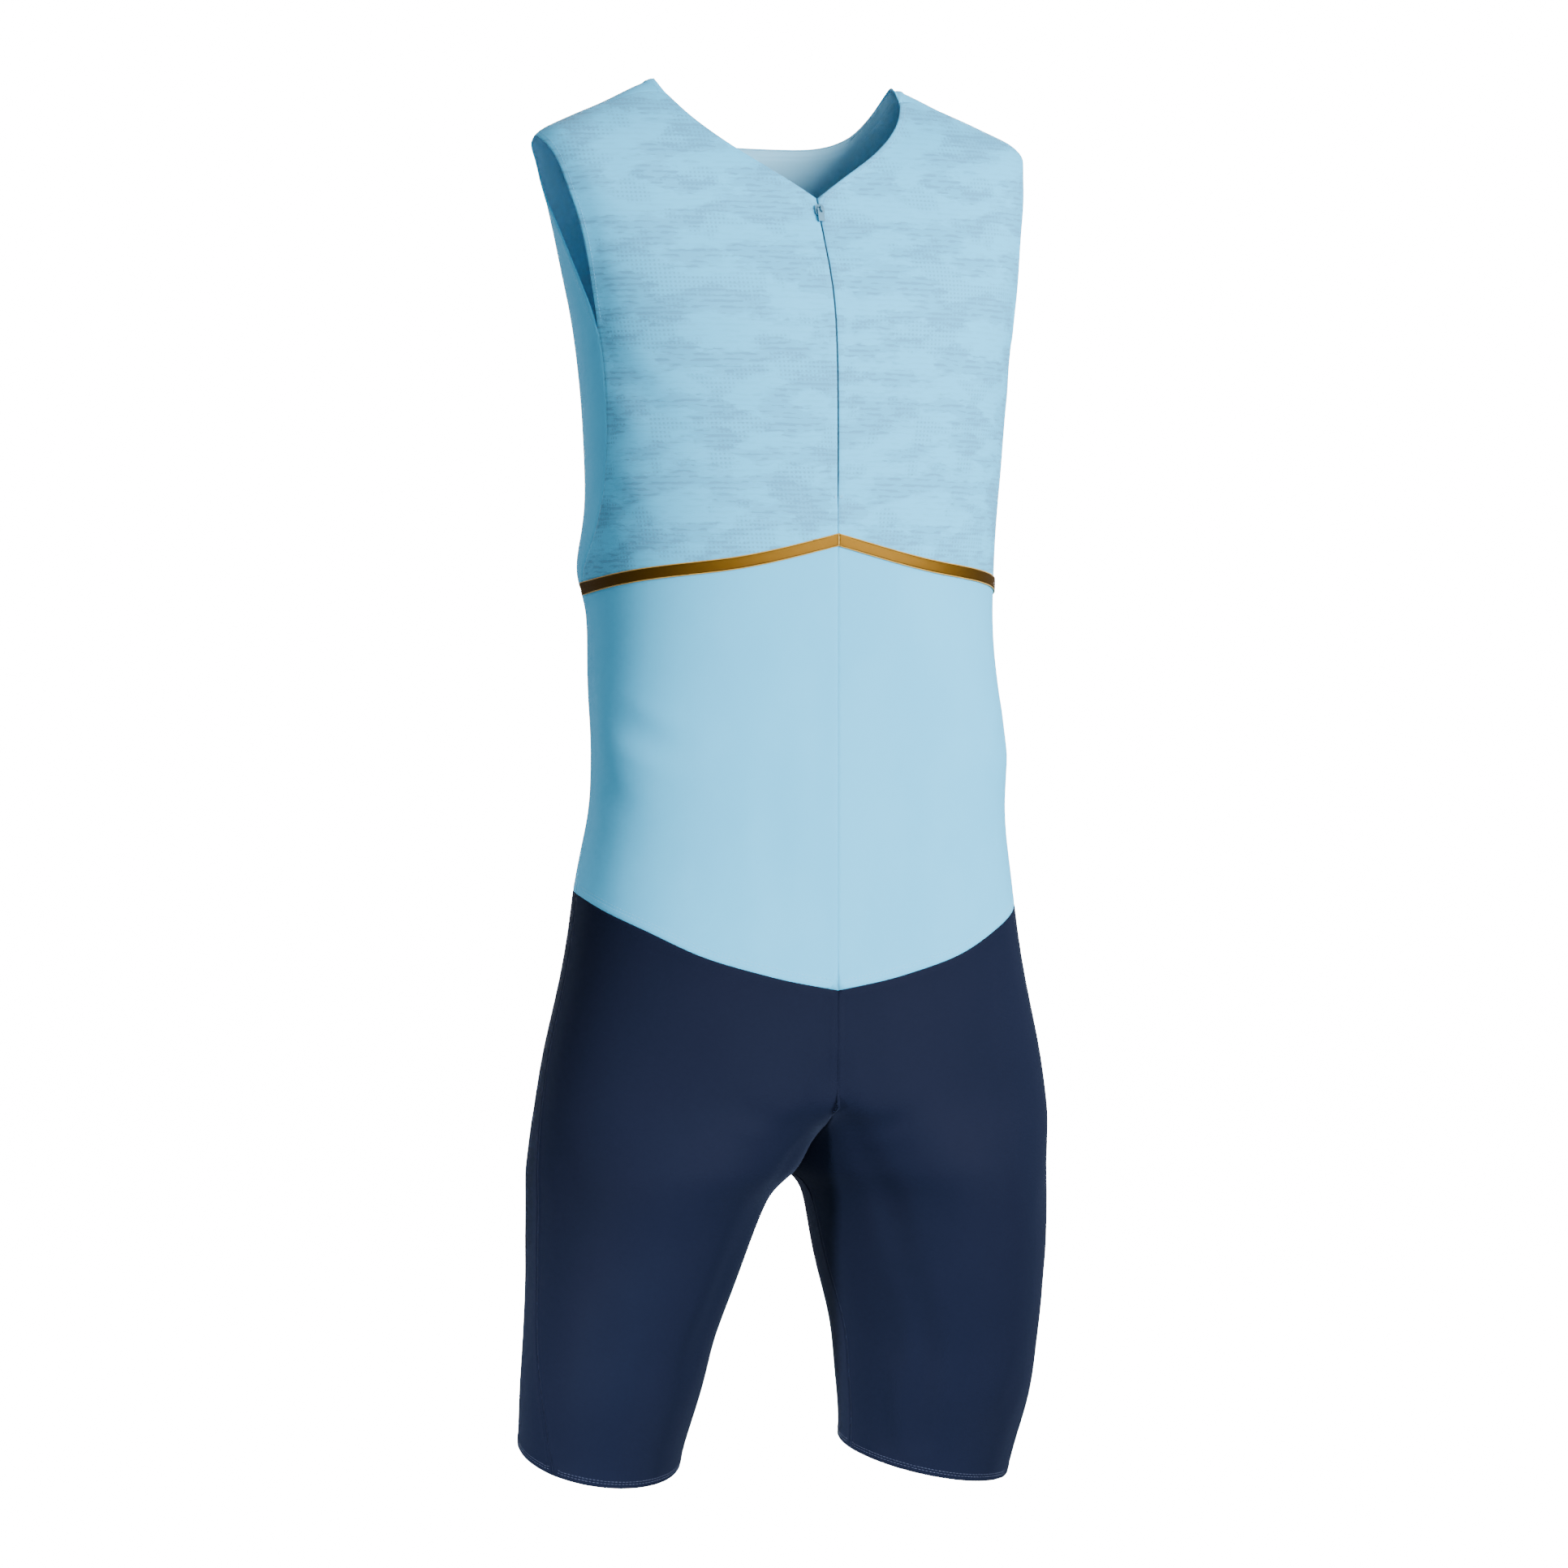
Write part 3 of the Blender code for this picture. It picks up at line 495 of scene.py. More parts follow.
# %% [markdown]
# ## The paper pattern
#
# A garment is cut from flat cloth. Unwrapping a panel flattens it in the same way. Turned upright and at
# real size it is the paper pattern: its area is the cloth that the panel takes, and the knit runs on it as
# on the roll.

# %% Flattening a panel
Cut = namedtuple("Cut", "width length area")


def linked(name, model, material):
    """The object of a modelled mesh, at the origin."""
    mesh = bpy.data.meshes.new(name)
    model.to_mesh(mesh)
    model.free()
    mesh.shade_smooth()
    mesh.materials.append(material)
    made = bpy.data.objects.new(name, mesh)
    bpy.context.scene.collection.objects.link(made)
    return made


def flatten(piece):
    """Gives a piece its pattern map, upright and in metres, and returns its cut."""
    mesh = piece.data
    mesh.uv_layers.new(name=PATTERN)
    for other in bpy.context.selected_objects:
        other.select_set(False)
    bpy.context.view_layer.objects.active = piece
    piece.select_set(True)
    bpy.ops.object.mode_set(mode="EDIT")
    bpy.ops.mesh.select_all(action="SELECT")
    bpy.ops.uv.unwrap(method="ANGLE_BASED", margin=0.0)
    bpy.ops.object.mode_set(mode="OBJECT")
    piece.select_set(False)
    layer = mesh.uv_layers[PATTERN].uv
    flat = np.array([tuple(corner.vector) for corner in layer])
    solid = np.array([tuple(mesh.vertices[loop.vertex_index].co) for loop in mesh.loops])
    area = flat_area = 0.0
    for face in mesh.polygons:
        area += face.area
        ring = flat[list(face.loop_indices)]
        after = np.roll(ring, -1, axis=0)
        flat_area += 0.5 * float((ring[:, 0] * after[:, 1] - after[:, 0] * ring[:, 1]).sum())
    flat = (flat - flat.mean(axis=0)) * math.sqrt(area / abs(flat_area))
    height = solid[:, 2] - solid[:, 2].mean()
    up = np.array([(flat[:, 0] * height).sum(), (flat[:, 1] * height).sum()])
    up /= np.linalg.norm(up)
    flat = np.stack([flat[:, 0] * up[1] - flat[:, 1] * up[0], flat @ up], axis=1)
    for corner, place in zip(layer, flat):
        corner.vector = place
    size = flat.max(axis=0) - flat.min(axis=0)
    return Cut(float(size[0]), float(size[1]), area)


# %% [markdown]
# ## Hems, seams and creases
#
# Edges of a panel are of two kinds. At the neck, the armholes and the legs the cloth is turned under and
# sewn down, which makes a slightly thicker band. Everywhere else it is sewn to its neighbour, and there it
# sinks into a fine valley. Narrow rings of faces along every edge give the mesh points enough to show both:
# three, or two for the upper back, whose faces are smaller at the shoulders.

# %% Rings along the edges
RINGS = (1.0, 1.5, 2.0)          # widths in millimetres, from the edge inwards; together less than a face
CORNER = math.radians(38)        # an edge that turns by more than this is pinned at that point
HIGH, HIGH_PIN = -6 * MM, 0.3    # the neck's highest points are pinned less, and stay a little round


def turns_sharply(vert):
    """Whether a mesh's edge turns a corner at this point."""
    edges = [edge for edge in vert.link_edges if edge.is_boundary]
    if len(edges) != 2:
        return False
    before, after = vert.co - edges[0].other_vert(vert).co, edges[1].other_vert(vert).co - vert.co
    return before.angle(after) > CORNER


def ringed(piece, widths=RINGS):
    """Insets a piece's faces from its edges and pins its corners. The pattern map follows."""
    model = bmesh.new()
    model.from_mesh(piece.data)
    corners = [vert.co.copy() for vert in model.verts if turns_sharply(vert)]
    for face in model.faces:
        face.tag = False
    for width in widths:
        inner = [face for face in model.faces if not face.tag]
        rim = bmesh.ops.inset_region(model, faces=inner, thickness=width * MM, use_boundary=True,
                                     use_even_offset=False, use_interpolate=True)
        for face in rim["faces"]:
            face.tag = True
    pinned = model.verts.layers.float.new("crease_vert")
    for vert in model.verts:
        if vert.is_boundary and any((vert.co - corner).length < 0.1 * MM for corner in corners):
            vert[pinned] = HIGH_PIN if vert.co.z > HIGH else 1.0
    model.to_mesh(piece.data)
    model.free()


def subdivided(piece, levels):
    """Smooths a piece with finer faces and applies that."""
    smooth = piece.modifiers.new("smooth", "SUBSURF")
    smooth.levels = smooth.render_levels = levels
    smooth.boundary_smooth = "PRESERVE_CORNERS"
    bpy.context.view_layer.update()
    shaped = bpy.data.meshes.new_from_object(piece.evaluated_get(bpy.context.evaluated_depsgraph_get()))
    piece.modifiers.clear()
    old, piece.data = piece.data, shaped
    bpy.data.meshes.remove(old)
    shaped.name = piece.name


# %% [markdown]
# Creases are listed one by one. Each is a short curve laid on the cloth through two or three points, with a
# width and a depth. Points are given as x, y and depth below the shoulders in millimetres, and are moved to
# the nearest cloth. A trough has a positive depth and a ridge a negative one. The suit is tight, so creases
# gather where it bends: at the fork, behind the knees and in the small of the back, uneven in length and
# spacing. Along both sides of a crease the cloth swells a little, and at its ends it fades.

# %% The creases
Crease = namedtuple("Crease", "points width depth")
SWELL, SWELL_AT, SWELL_WIDTH = 0.38, 1.75, 0.75     # shares of the crease's depth and width
FADED_END, FADE_POWER = 0.08, 0.8
FAR, SAME_SIDE = 3, 0.25         # no crease reaches further than three widths, or through to the other side
CREASES = [
    # the fork, from the front
    Crease([(2, -135, 700), (-14, -130, 728), (-38, -124, 752)], 9, 1.6),
    Crease([(-2, -135, 712), (10, -128, 745), (30, -118, 775)], 9, 1.6),
    Crease([(-46, -126, 742), (-72, -122, 738)], 8, 0.9),
    Crease([(20, -126, 752), (58, -126, 741)], 8, 1.0),
    Crease([(-12, -124, 762), (-30, -112, 800)], 7, 1.3),
    Crease([(14, -122, 770), (40, -116, 812), (58, -104, 858)], 10, 1.7),
    # left leg, inside front
    Crease([(74, -98, 862), (84, -86, 920), (86, -60, 990)], 9, 1.8),
    Crease([(63, -66, 930), (66, -52, 992)], 6, -1.0),
    Crease([(160, -70, 930), (150, -58, 975)], 10, 0.7),
    # right leg, inside front
    Crease([(-52, -100, 812), (-66, -92, 868), (-80, -80, 925)], 11, 1.3),
    Crease([(-150, -84, 880), (-160, -60, 960)], 12, 0.8),
    # outer thighs
    Crease([(-176, -60, 760), (-170, -84, 800)], 12, 0.6),
    Crease([(172, -66, 770), (166, -90, 822)], 12, 0.7),
    # below the seat
    Crease([(-150, 62, 812), (-100, 76, 822), (-50, 66, 812)], 10, 2.0),
    Crease([(48, 66, 816), (96, 74, 828), (152, 60, 820)], 10, 2.2),
    Crease([(-120, 74, 846), (-84, 76, 852)], 8, 1.1),
    Crease([(70, 72, 858), (124, 72, 850)], 8, 1.2),
    Crease([(-6, 70, 742), (-34, 74, 776), (-60, 76, 798)], 8, 1.4),
    Crease([(6, 70, 740), (30, 74, 780), (56, 74, 806)], 8, 1.5),
    # behind the knees
    Crease([(-160, 70, 950), (-120, 82, 962), (-88, 78, 954)], 9, 1.5),
    Crease([(88, 78, 944), (128, 82, 956), (166, 66, 948)], 9, 1.6),
    Crease([(-146, 80, 982), (-110, 84, 986)], 7, 0.9),
    # the small of the back
    Crease([(-112, 10, 402), (-50, 30, 412), (22, 34, 408)], 11, 2.0),
    Crease([(-30, 32, 440), (44, 30, 446), (104, 12, 436)], 11, 2.3),
    Crease([(-96, 14, 474), (-34, 30, 480)], 9, 1.5),
    Crease([(30, 30, 492), (88, 18, 486)], 9, 1.3),
    Crease([(-60, 28, 366), (10, 36, 372), (64, 30, 368)], 10, 1.2),
    # shoulder blades to the armholes
    Crease([(-130, 26, 140), (-104, 40, 186), (-86, 46, 232)], 12, 1.5),
    Crease([(128, 26, 136), (106, 40, 176), (92, 44, 214)], 12, 1.3),
    Crease([(-136, 0, 200), (-120, 22, 236)], 9, 1.0),
    Crease([(138, 0, 206), (122, 22, 248)], 9, 1.1),
    # below the armholes, in front
    Crease([(-158, -84, 206), (-140, -108, 236), (-118, -122, 256)], 11, 1.0),
    Crease([(158, -84, 204), (142, -106, 228)], 11, 0.9),
    Crease([(-152, -70, 300), (-138, -98, 326)], 10, 0.8),
    # shoulders and chest
    Crease([(-150, -60, 70), (-128, -84, 96)], 10, 0.8),
    Crease([(150, -60, 72), (132, -82, 92)], 10, 0.7),
    # beside the zip
    Crease([(5, -104, 112), (22, -108, 118)], 5, 0.7),
    Crease([(-5, -116, 134), (-22, -118, 139)], 5, 0.6),
    Crease([(5, -124, 152), (24, -126, 158)], 6, 0.6),
    Crease([(-5, -130, 172), (-26, -131, 176)], 6, 0.6),
    Crease([(5, -136, 196), (20, -137, 200)], 6, 0.5),
    Crease([(-4, -139, 306), (-26, -139, 318)], 7, 0.6),
    Crease([(4, -139, 308), (28, -139, 316)], 7, 0.6),
    # the belly, long and soft
    Crease([(-45, -139, 466), (-47, -139, 550), (-44, -139, 628)], 11, 0.7),
    Crease([(46, -139, 520), (49, -139, 575), (45, -139, 622)], 11, 0.5),
    # the flank, where the belly begins
    Crease([(-148, -84, 462), (-132, -104, 476), (-112, -118, 484)], 10, 1.6),
    Crease([(-150, -60, 500), (-142, -88, 520)], 10, 1.0),
    Crease([(146, -86, 470), (134, -104, 482)], 10, 1.0),
]


def smooth_line(points, count=17):
    """Evenly read places on a curve through two or three points."""
    first, last = np.array(points[0], float), np.array(points[-1], float)
    bend = 2 * np.array(points[1], float) - (first + last) / 2 if len(points) == 3 else (first + last) / 2
    t = np.linspace(0, 1, count)[:, None]
    return (1 - t) ** 2 * first + 2 * t * (1 - t) * bend + t * t * last


def normals(piece):
    """The way out of the cloth at every point."""
    found = np.empty(len(piece.data.vertices) * 3)
    piece.data.vertex_normals.foreach_get("vector", found)
    return found.reshape(-1, 3)


def places(piece):
    found = np.empty(len(piece.data.vertices) * 3)
    piece.data.vertices.foreach_get("co", found)
    return found.reshape(-1, 3)


def moved(piece, points):
    """Puts a piece's points in new places."""
    piece.data.vertices.foreach_set("co", points.ravel())
    piece.data.update()


def surface_of(piece):
    """A piece's faces, ready to be asked for their nearest place to a point."""
    return BVHTree.FromPolygons([vert.co for vert in piece.data.vertices],
                                [tuple(face.vertices) for face in piece.data.polygons])


def snapped(trees, point):
    """The nearest place on any of the panels, and the way out of the cloth there."""
    hits = [tree.find_nearest(point) for tree in trees]
    hit = min(hits, key=lambda found: found[3])
    return hit[0], hit[1]


def creased(panels):
    """Presses every crease into the panels it crosses."""
    trees = [surface_of(piece) for piece in panels.values()]
    laid = []
    for crease in CREASES:
        points = [snapped(trees, Vector((x * MM, y * MM, -depth * MM)))
                  for x, y, depth in smooth_line(crease.points)]
        laid.append((np.array([p for p, _ in points]), np.mean([tuple(n) for _, n in points], axis=0)))
    for piece in panels.values():
        points, ways = places(piece), normals(piece)
        sink = np.zeros(len(points))
        for crease, (line, way) in zip(CREASES, laid):
            width = crease.width * MM
            low, high = line.min(axis=0) - FAR * width, line.max(axis=0) + FAR * width
            near = np.where(((points > low) & (points < high)).all(axis=1) & (ways @ way > SAME_SIDE))[0]
            if not len(near):
                continue
            gaps = np.linalg.norm(points[near, None] - line[None], axis=2)
            along = gaps.argmin(axis=1) / (len(line) - 1)
            reach = gaps.min(axis=1) / width
            fade = np.sin(np.pi * (FADED_END + (1 - 2 * FADED_END) * along)) ** FADE_POWER
            profile = np.exp(-reach ** 2) - SWELL * np.exp(-((reach - SWELL_AT) / SWELL_WIDTH) ** 2)
            sink[near] += crease.depth * MM * fade * profile
        moved(piece, points - ways * sink[:, None])
    print("creases:", len(CREASES))


# %% [markdown]
# ## The ten panels of jersey
#
# Now the panels. All are skinned, flattened and smoothed first, then the creases run over them together, so
# that a crease which crosses a seam is the same on both sides. Last comes the cloth's thickness, inwards.

# %% Skins of the panels
PANELS = {
    "front_upper_right": (jacquard_jersey, "blue_melange_jersey"),
    "front_upper_left": (jacquard_jersey, "blue_melange_jersey"),
    "front_lower_right": (blue_jersey, "blue_jersey"),
    "front_lower_left": (blue_jersey, "blue_jersey"),
    "back_upper": (blue_jersey, "blue_jersey"),
    "back_lower": (blue_jersey, "blue_jersey"),
    "shorts_front_right": (navy_jersey, "navy_jersey"),
    "shorts_front_left": (navy_jersey, "navy_jersey"),
    "shorts_back_right": (navy_jersey, "navy_jersey"),
    "shorts_back_left": (navy_jersey, "navy_jersey"),
}
panels, cuts = {}, {}
for node, (material, _) in PANELS.items():
    piece = linked(f"{node}_cloth", outer_skin(node), material)
    cuts[node] = flatten(piece)
    ringed(piece, RINGS[:2] if node == "back_upper" else RINGS)
    subdivided(piece, 2)
    panels[node] = piece
    print(node, "cut %.3f x %.3f m, %.4f m2" % cuts[node], len(piece.data.polygons), "faces")
creased(panels)

# %% [markdown]
# The distance of every point from its panel's edge shapes hem and seam. An edge point with another panel's
# edge close by is on a seam, and any other is on a hem. Two panels end a hair's breadth apart, so on a seam
# each is drawn a little over halfway to the other. Only the two front edges at the zip stay apart.

# %% Hems and seams
# All in millimetres, apart from the share of a gap.
SEAM_REACH = 1.6
EDGE_BAND = 12                       # nothing beyond this is shaped by the edge
HEM_WIDTH, HEM_RISE = 7.4, 0.40      # the band where the cloth lies double
HEM_STEP = 1.4                       # over this the band comes down to single cloth
FOLD_ROUND, FOLD_DROP = 0.6, 0.5     # the rounding of the fold at the very edge
SEAM_WIDTH, SEAM_SINK = 1.2, 0.34
SEAM_SHARE = 0.55                    # how much of the gap at a seam each side is drawn across
ROW_AT, ROW_WIDTH, ROW_SINK = 5.4, 1.5, 0.20     # the shallow valley that a row of stitches pulls in


def edge_points(piece):
    """The piece's edge points in order, as closed loops of vertex numbers."""
    model = bmesh.new()
    model.from_mesh(piece.data)
    following = {}
    for edge in model.edges:
        if edge.is_boundary:
            loop = edge.link_loops[0]
            following[loop.vert.index] = loop.link_loop_next.vert.index
    model.free()
    loops = []
    while following:
        start, loop = next(iter(following)), []
        while start in following:
            loop.append(start)
            start = following.pop(start)
        loops.append(loop)
    return loops


def tree_of(points):
    """Points, ready to be asked for the nearest to a place."""
    tree = KDTree(len(points))
    for number, point in enumerate(points):
        tree.insert(point, number)
    tree.balance()
    return tree


def neighbours(node):
    """For every edge point of a panel, the panel it is sewn to, or None on a hem."""
    found = {}
    for i in sum(edges[node], []):
        _, nearest, gap = every_edge[node].find(edge_places[node][i])
        found[i] = owners[node][nearest] if gap < SEAM_REACH * MM else None
    return found


def along_edges(points, loops, step=0.4 * MM):
    """Places close together along edge loops, with the edge point that each is nearest to."""
    found, owner = [], []
    for loop in loops:
        for i, j in zip(loop, loop[1:] + loop[:1]):
            count = max(int(np.linalg.norm(points[j] - points[i]) / step), 1)
            for k in range(count):
                found.append(points[i] + (points[j] - points[i]) * k / count)
                owner.append(i if 2 * k <= count else j)
    return found, owner


def closed(node):
    """A panel's points, with those on its seams moved across the gap, so that the two sides meet."""
    old, new = edge_places[node], edge_places[node].copy()
    for loop in edges[node]:
        for before, i, after in zip(loop[-1:] + loop[:-1], loop, loop[1:] + loop[:1]):
            other = sewn_to[node][i]
            if other is None or (node.startswith("front_upper") and other.startswith("front_upper")):
                continue
            gap = np.array(every_edge[node].find(old[i])[0]) - old[i]
            along = (old[after] - old[before]) / np.linalg.norm(old[after] - old[before])
            new[i] += SEAM_SHARE * (gap - along * (along @ gap))
    return new


def found_edges():
    """Every panel's points, a tree of the other panels' edges, and the panel of each place in that tree."""
    at = {node: places(piece) for node, piece in panels.items()}
    close = {node: along_edges(at[node], edges[node])[0] for node in panels}
    others = {node: [other for other in panels if other != node] for node in panels}
    trees = {node: tree_of(sum((close[other] for other in others[node]), [])) for node in panels}
    return at, trees, {node: [other for other in others[node] for _ in close[other]] for node in panels}


edges = {node: edge_points(piece) for node, piece in panels.items()}
edge_places, every_edge, owners = found_edges()
sewn_to = {node: neighbours(node) for node in panels}
for node, piece in panels.items():
    points, ways = places(piece), normals(piece)
    near, owner = along_edges(points, edges[node])
    tree = tree_of(near)
    rise = np.zeros(len(points))
    for i, point in enumerate(points):
        _, nearest, gap = tree.find(point)
        gap /= MM
        other = sewn_to[node][owner[nearest]]
        if gap > EDGE_BAND:
            continue
        if other is None:
            step = min(max((HEM_WIDTH - gap) / HEM_STEP + 0.5, 0), 1)
            rise[i] = HEM_RISE * step - FOLD_DROP * math.exp(-(gap / FOLD_ROUND) ** 2)
        else:
            rise[i] = -SEAM_SINK * math.exp(-(gap / SEAM_WIDTH) ** 2)
        if other is None or ("lower" in node and "shorts" in other):
            rise[i] -= ROW_SINK * math.exp(-((gap - ROW_AT) / ROW_WIDTH) ** 2)
    moved(piece, points + ways * rise[:, None] * MM)
edge_places, every_edge, owners = found_edges()
for node, piece in panels.items():
    moved(piece, closed(node))
print("hem points:", {node: list(found.values()).count(None) for node, found in sewn_to.items()})

# %% Thickness, and hiding the solid that each panel replaces
CLOTH = 0.9 * MM


def thickened(piece, thickness, inside=None):
    """Gives a skin its thickness, inwards, and its inner face a finish of its own if there is one."""
    wall = piece.modifiers.new("thickness", "SOLIDIFY")
    wall.thickness, wall.offset = thickness, -1
    wall.use_even_offset = False
    wall.use_quality_normals = True
    if inside:
        piece.data.materials.append(inside)
        wall.material_offset = 1


for node, piece in panels.items():
    # the blue panels' inner faces take the lighter, greyer blue: painted light for the shade inside
    thickened(piece, CLOTH, None if node.startswith("shorts") else inside_painted_light)
    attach(piece, SUIT)
    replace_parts(piece, node)
print("panels:", len(panels))

# %% [markdown]
# ## Threads
#
# Stitches, cords and coils are many small shapes. Their points and faces are worked out as arrays and
# joined to one piece. A tube follows a line of points.

# %% Joined pieces and tubes
def sewn(name, groups, material):
    """One piece from many groups of points and faces."""
    points, faces, first = [], [], 0
    for group_points, group_faces in groups:
        points.append(group_points)
        faces += [[i + first for i in face] for face in group_faces]
        first += len(group_points)
    mesh = bpy.data.meshes.new(name)
    mesh.from_pydata([tuple(p) for p in np.concatenate(points)], [], faces)
    mesh.shade_smooth()
    mesh.materials.append(material)
    piece = bpy.data.objects.new(name, mesh)
    bpy.context.scene.collection.objects.link(piece)
    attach(piece, SUIT)
    print(name, len(faces), "faces")
    return piece


def tube(line, radius, sides=6):
    """The points and faces of a tube along a line."""
    along = np.gradient(line, axis=0)
    along /= np.linalg.norm(along, axis=1)[:, None]
    side = np.cross(along, (0.0, 0.0, 1.0))
    side /= np.linalg.norm(side, axis=1)[:, None]
    other = np.cross(along, side)
    angles = np.arange(sides) * 2 * math.pi / sides
    rings = line[:, None] + radius * (side[:, None] * np.cos(angles)[None, :, None]
                                      + other[:, None] * np.sin(angles)[None, :, None])
    faces = [[i + k, i + (k + 1) % sides, i + sides + (k + 1) % sides, i + sides + k]
             for i in range(0, (len(line) - 1) * sides, sides) for k in range(sides)]
    faces += [list(range(sides))[::-1], [(len(line) - 1) * sides + k for k in range(sides)]]
    return rings.reshape(-1, 3), faces


print("threads ready")

# %% [markdown]
# ## The gold tape
#
# A flat tape is sewn over the bodice seam, in two lengths that meet at the point of the chevron. It is made
# from its own solid's outer face, and its edges are rounded down. A brighter cord runs round its edge.

# %% The gold tape
EDGE_CORD = 0.42                 # the cord's radius, in millimetres
GOLD_THICKNESS, GOLD_RINGS = 0.8, (0.6,)
EDGE_DROP, EDGE_ROUND = 0.45, 0.7
for side in SIDES.values():
    node = f"gold_tape_{side}"
    piece = linked(f"{node}_woven", outer_skin(node), gold)
    cut = flatten(piece)
    ringed(piece, GOLD_RINGS)
    subdivided(piece, 3)
    points, ways = places(piece), normals(piece)
    tree = tree_of([points[i] for loop in edge_points(piece) for i in loop])
    gaps = np.array([tree.find(point)[2] for point in points]) / MM
    sink = EDGE_DROP * np.exp(-(gaps / EDGE_ROUND) ** 2)
    moved(piece, points - ways * sink[:, None] * MM)
    thickened(piece, GOLD_THICKNESS * MM)
    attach(piece, SUIT)
    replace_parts(piece, node)
    print(node, "cut %.3f x %.3f m, %.5f m2" % cut)
    ways = normals(piece)
    cords = []
    for loop in edge_points(piece):
        points = places(piece)[loop] + ways[loop] * (EDGE_CORD - EDGE_DROP) * MM
        cords.append(tube(np.concatenate([points, points[:1]]), EDGE_CORD * MM))
    sewn(f"{node}_edge", cords, gold_thread)

# %% [markdown]
# ## Stitches
#
# Needles leave short rounded stitches, each slightly sunk at its ends. A row follows its edge at a fixed
# distance: a single row round the neck and the armholes, and double rows above the waist seam and round the
# hems. Stitches are shared out evenly, so that the ends of a row meet.

# %% Rows of stitches
Row = namedtuple("Row", "insets pitch length thick")
SINGLE = Row((4.6,), 2.5, 1.9, 0.34)
DOUBLE = Row((4.4, 6.6), 2.7, 2.1, 0.36)
SUNK, SUNK_ENDS = 0.12, 0.12     # how deep a stitch lies in the cloth, and how much deeper its ends
SHORTEST = 8                     # a stretch of edge with no more points than this has no stitches


def stretches(node, wanted):
    """The stretches of a panel's edge that are sewn to a wanted panel, or to None for a hem, in order."""
    found = []
    for loop in edges[node]:
        fits = [sewn_to[node][i] in wanted for i in loop]
        if all(fits):
            found.append(loop + loop[:1])
            continue
        start = fits.index(False)
        line = []
        for k in range(start, start + len(loop) + 1):
            if fits[k % len(loop)]:
                line.append(loop[k % len(loop)])
            elif line:
                found.append(line)
                line = []
    return [line for line in found if len(line) > SHORTEST]


def row_beside(node, line, inset):
    """A line on the panel, an inset away from a stretch of its edge, with the ways out of the cloth."""
    points, ways = places(panels[node]), normals(panels[node])
    edge, out = points[line], ways[line]
    inwards = np.cross(out, np.gradient(edge, axis=0))
    inwards /= np.linalg.norm(inwards, axis=1)[:, None]
    hits = [surfaces[node].find_nearest(Vector(p)) for p in edge + inwards * inset * MM]
    return np.array([tuple(hit[0]) for hit in hits]), np.array([tuple(hit[1]) for hit in hits])


def evenly(points, pitch, *others):
    """Places shared out evenly along a line, about a pitch apart, and what the others hold there."""
    marks = np.concatenate([[0], np.cumsum(np.linalg.norm(np.diff(points, axis=0), axis=1))])
    count = max(int(round(marks[-1] / pitch)), 1)
    at = (np.arange(count) + 0.5) * marks[-1] / count
    return [np.stack([np.interp(at, marks, column) for column in values.T], axis=1)
            for values in (points, *others)]


def capsule():
    """A stitch of length and thickness 1 along X, as points and faces."""
    model = bmesh.new()
    bmesh.ops.create_uvsphere(model, u_segments=6, v_segments=5, radius=0.5,
                              matrix=Matrix.Rotation(math.pi / 2, 4, "Y"))
    for vert in model.verts:
        vert.co.x = math.copysign(abs(vert.co.x * 2) ** 0.6 / 2, vert.co.x)
    model.verts.index_update()
    points = np.array([tuple(vert.co) for vert in model.verts])
    faces = [[vert.index for vert in face.verts] for face in model.faces]
    model.free()
    return points, faces


def stitches(middles, alongs, outs, length, thick):
    """The points and faces of many stitches, each lying along its own way."""
    shape, faces = capsule()
    alongs = alongs / np.linalg.norm(alongs, axis=1)[:, None]
    outs = outs / np.linalg.norm(outs, axis=1)[:, None]
    across = np.cross(outs, alongs)
    size = shape * (length * MM, thick * MM, thick * MM)
    lift = (thick / 2 - SUNK - SUNK_ENDS * (2 * shape[:, :1]) ** 2) * MM
    points = (middles[:, None] + alongs[:, None] * size[:, :1] + across[:, None] * size[:, 1:2]
              + outs[:, None] * (size[:, 2:] + lift))
    firsts = range(0, len(middles) * len(shape), len(shape))
    return points.reshape(-1, 3), [[i + first for i in face] for first in firsts for face in faces]


def rows(nodes, wanted, kind):
    """Rows of stitches beside the edges of some panels."""
    groups = []
    for node in nodes:
        for line in stretches(node, wanted):
            for inset in kind.insets:
                points, outs = row_beside(node, line, inset)
                points, alongs, outs = evenly(points, kind.pitch * MM, np.gradient(points, axis=0), outs)
                groups.append(stitches(points, alongs, outs, kind.length, kind.thick))
    return groups


surfaces = {node: surface_of(piece) for node, piece in panels.items()}
UPPER = ("front_upper_right", "front_upper_left", "back_upper")
LOWER = ("front_lower_right", "front_lower_left", "back_lower")
SHORTS = ("shorts_front_right", "shorts_front_left", "shorts_back_right", "shorts_back_left")
sewn("edge_stitches", rows(UPPER, (None,), SINGLE), blue_thread)
sewn("waist_stitches", rows(LOWER, SHORTS, DOUBLE), blue_thread)
sewn("hem_stitches", rows(SHORTS, (None,), DOUBLE), navy_thread)

# %% [markdown]
# ## The zip
#
# Two woven tapes carry a nylon coil each. A coil is a helix, and the two are pushed into one another by
# half a turn. The slider and its tab keep their solids' form and are only painted. The cloth covers the
# tapes.

# %% Zip tapes, coils and slider
ZIP_TAPE_THICKNESS, ZIP_TAPE_RINGS = 0.7, (0.5,)
COIL_TURN, COIL_WIRE = 1.27, 0.27        # a turn's length and the wire's radius, in millimetres
COIL_HALF_WIDTH, COIL_HALF_DEPTH, COIL_FROM_CENTRE = 0.95, 0.42, 0.98
POINTS_A_TURN = 12


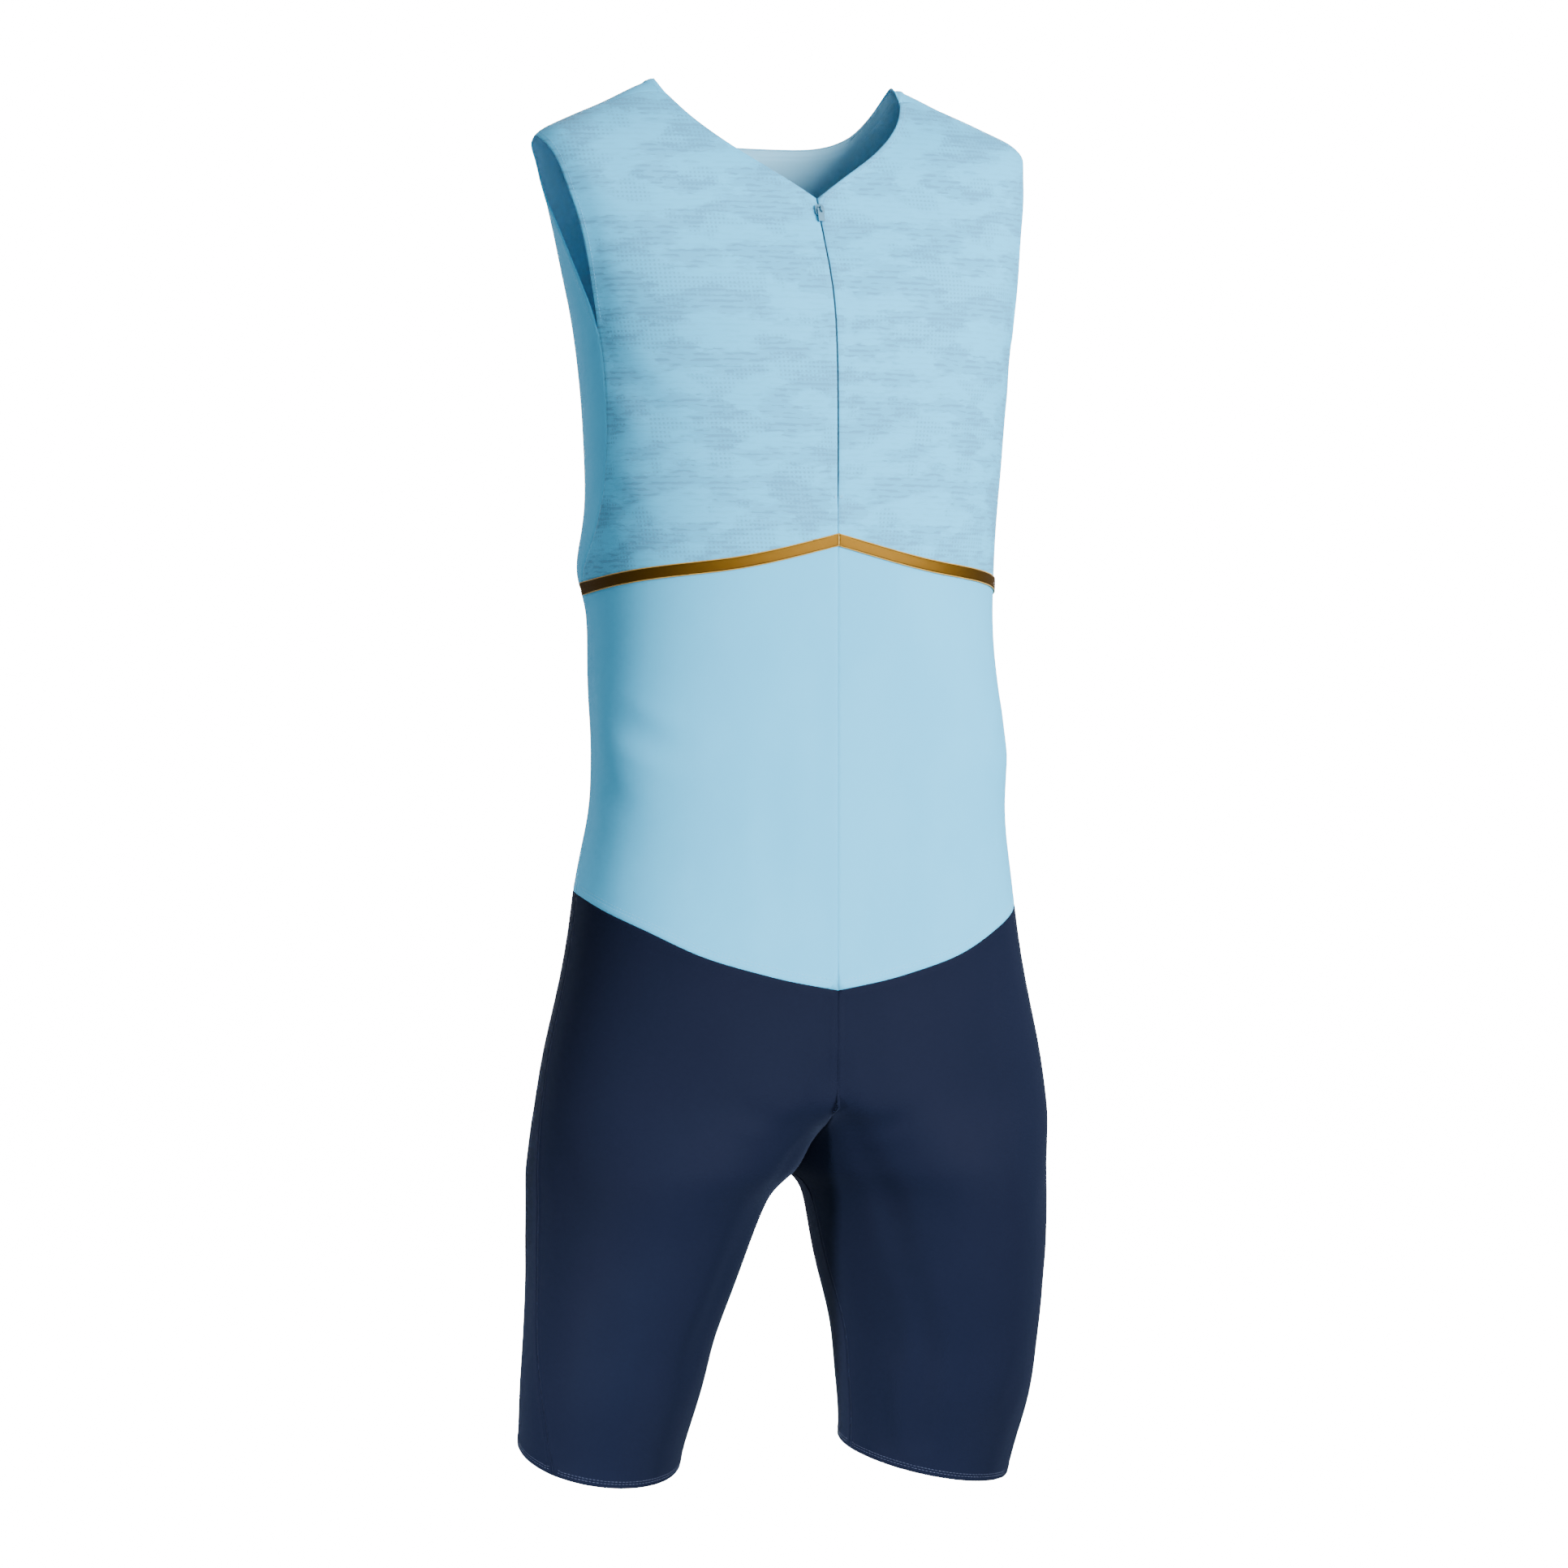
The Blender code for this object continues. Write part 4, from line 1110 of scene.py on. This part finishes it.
def middle_of(node):
    """The line down the middle of a strip's outer face, from its top."""
    model = outer_skin(node)
    line = sorted({(round(v.co.y, 6), round(v.co.z, 6)) for v in model.verts if abs(v.co.x) < 0.2 * MM},
                  key=lambda place: -place[1])
    model.free()
    return np.array([(0.0, *place) for place in line])


for side in SIDES.values():
    node = f"zip_tape_{side}"
    piece = linked(f"{node}_woven", outer_skin(node), zip_tape)
    cut = flatten(piece)
    ringed(piece, ZIP_TAPE_RINGS)
    subdivided(piece, 2)
    thickened(piece, ZIP_TAPE_THICKNESS * MM)
    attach(piece, SUIT)
    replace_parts(piece, node)
    print(node, "cut %.3f x %.3f m, %.5f m2" % cut)
spine = middle_of("zip_coil")
marks = np.concatenate([[0], np.cumsum(np.linalg.norm(np.diff(spine, axis=0), axis=1))]) / MM
turns = marks[-1] / COIL_TURN
phase = np.linspace(0, 2 * math.pi * turns, int(turns * POINTS_A_TURN))
coils = []
for side in SIDES:
    at = np.clip(phase / (2 * math.pi) * COIL_TURN + (0.5 * COIL_TURN if side > 0 else 0), 0, marks[-1])
    line = np.stack([np.interp(at, marks, column) for column in spine.T], axis=1)
    line[:, 0] += side * (COIL_FROM_CENTRE + COIL_HALF_WIDTH * np.cos(phase)) * MM
    line[:, 1] += (COIL_HALF_DEPTH + COIL_WIRE + COIL_HALF_DEPTH * np.sin(phase)) * MM
    coils.append(tube(line, COIL_WIRE * MM))
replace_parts(sewn("zip_coils", coils, coil_nylon), "zip_coil")
for node in ("zip_slider", "zip_pull_tab"):
    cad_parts[node].material_slots[0].material = painted_metal

# %% [markdown]
# Where the zip ends, a bartack stops it from tearing on: a dense bar of stitches across both edges.

# %% The bartack
TACK_DEPTH, TACK_WIDTH, TACK_HEIGHT, TACK_STITCHES = 307.5, 6.6, 2.6, 12
TACK_THREAD, TACK_LEAN = 0.5, 0.12
BEFORE_CLOTH = -145 * MM
spots, outs = [], []
for k in range(TACK_STITCHES):
    x = TACK_WIDTH * ((k + 0.5) / TACK_STITCHES - 0.5)
    place, out = snapped(list(surfaces.values()), Vector((x * MM, BEFORE_CLOTH, -TACK_DEPTH * MM)))
    spots.append(tuple(place))
    outs.append(tuple(out))
uprights = np.tile((TACK_LEAN, 0.0, 1.0), (TACK_STITCHES, 1))
tacks = stitches(np.array(spots), uprights, np.array(outs), TACK_HEIGHT, TACK_THREAD)
sewn("zip_bartack", [tacks], blue_thread)
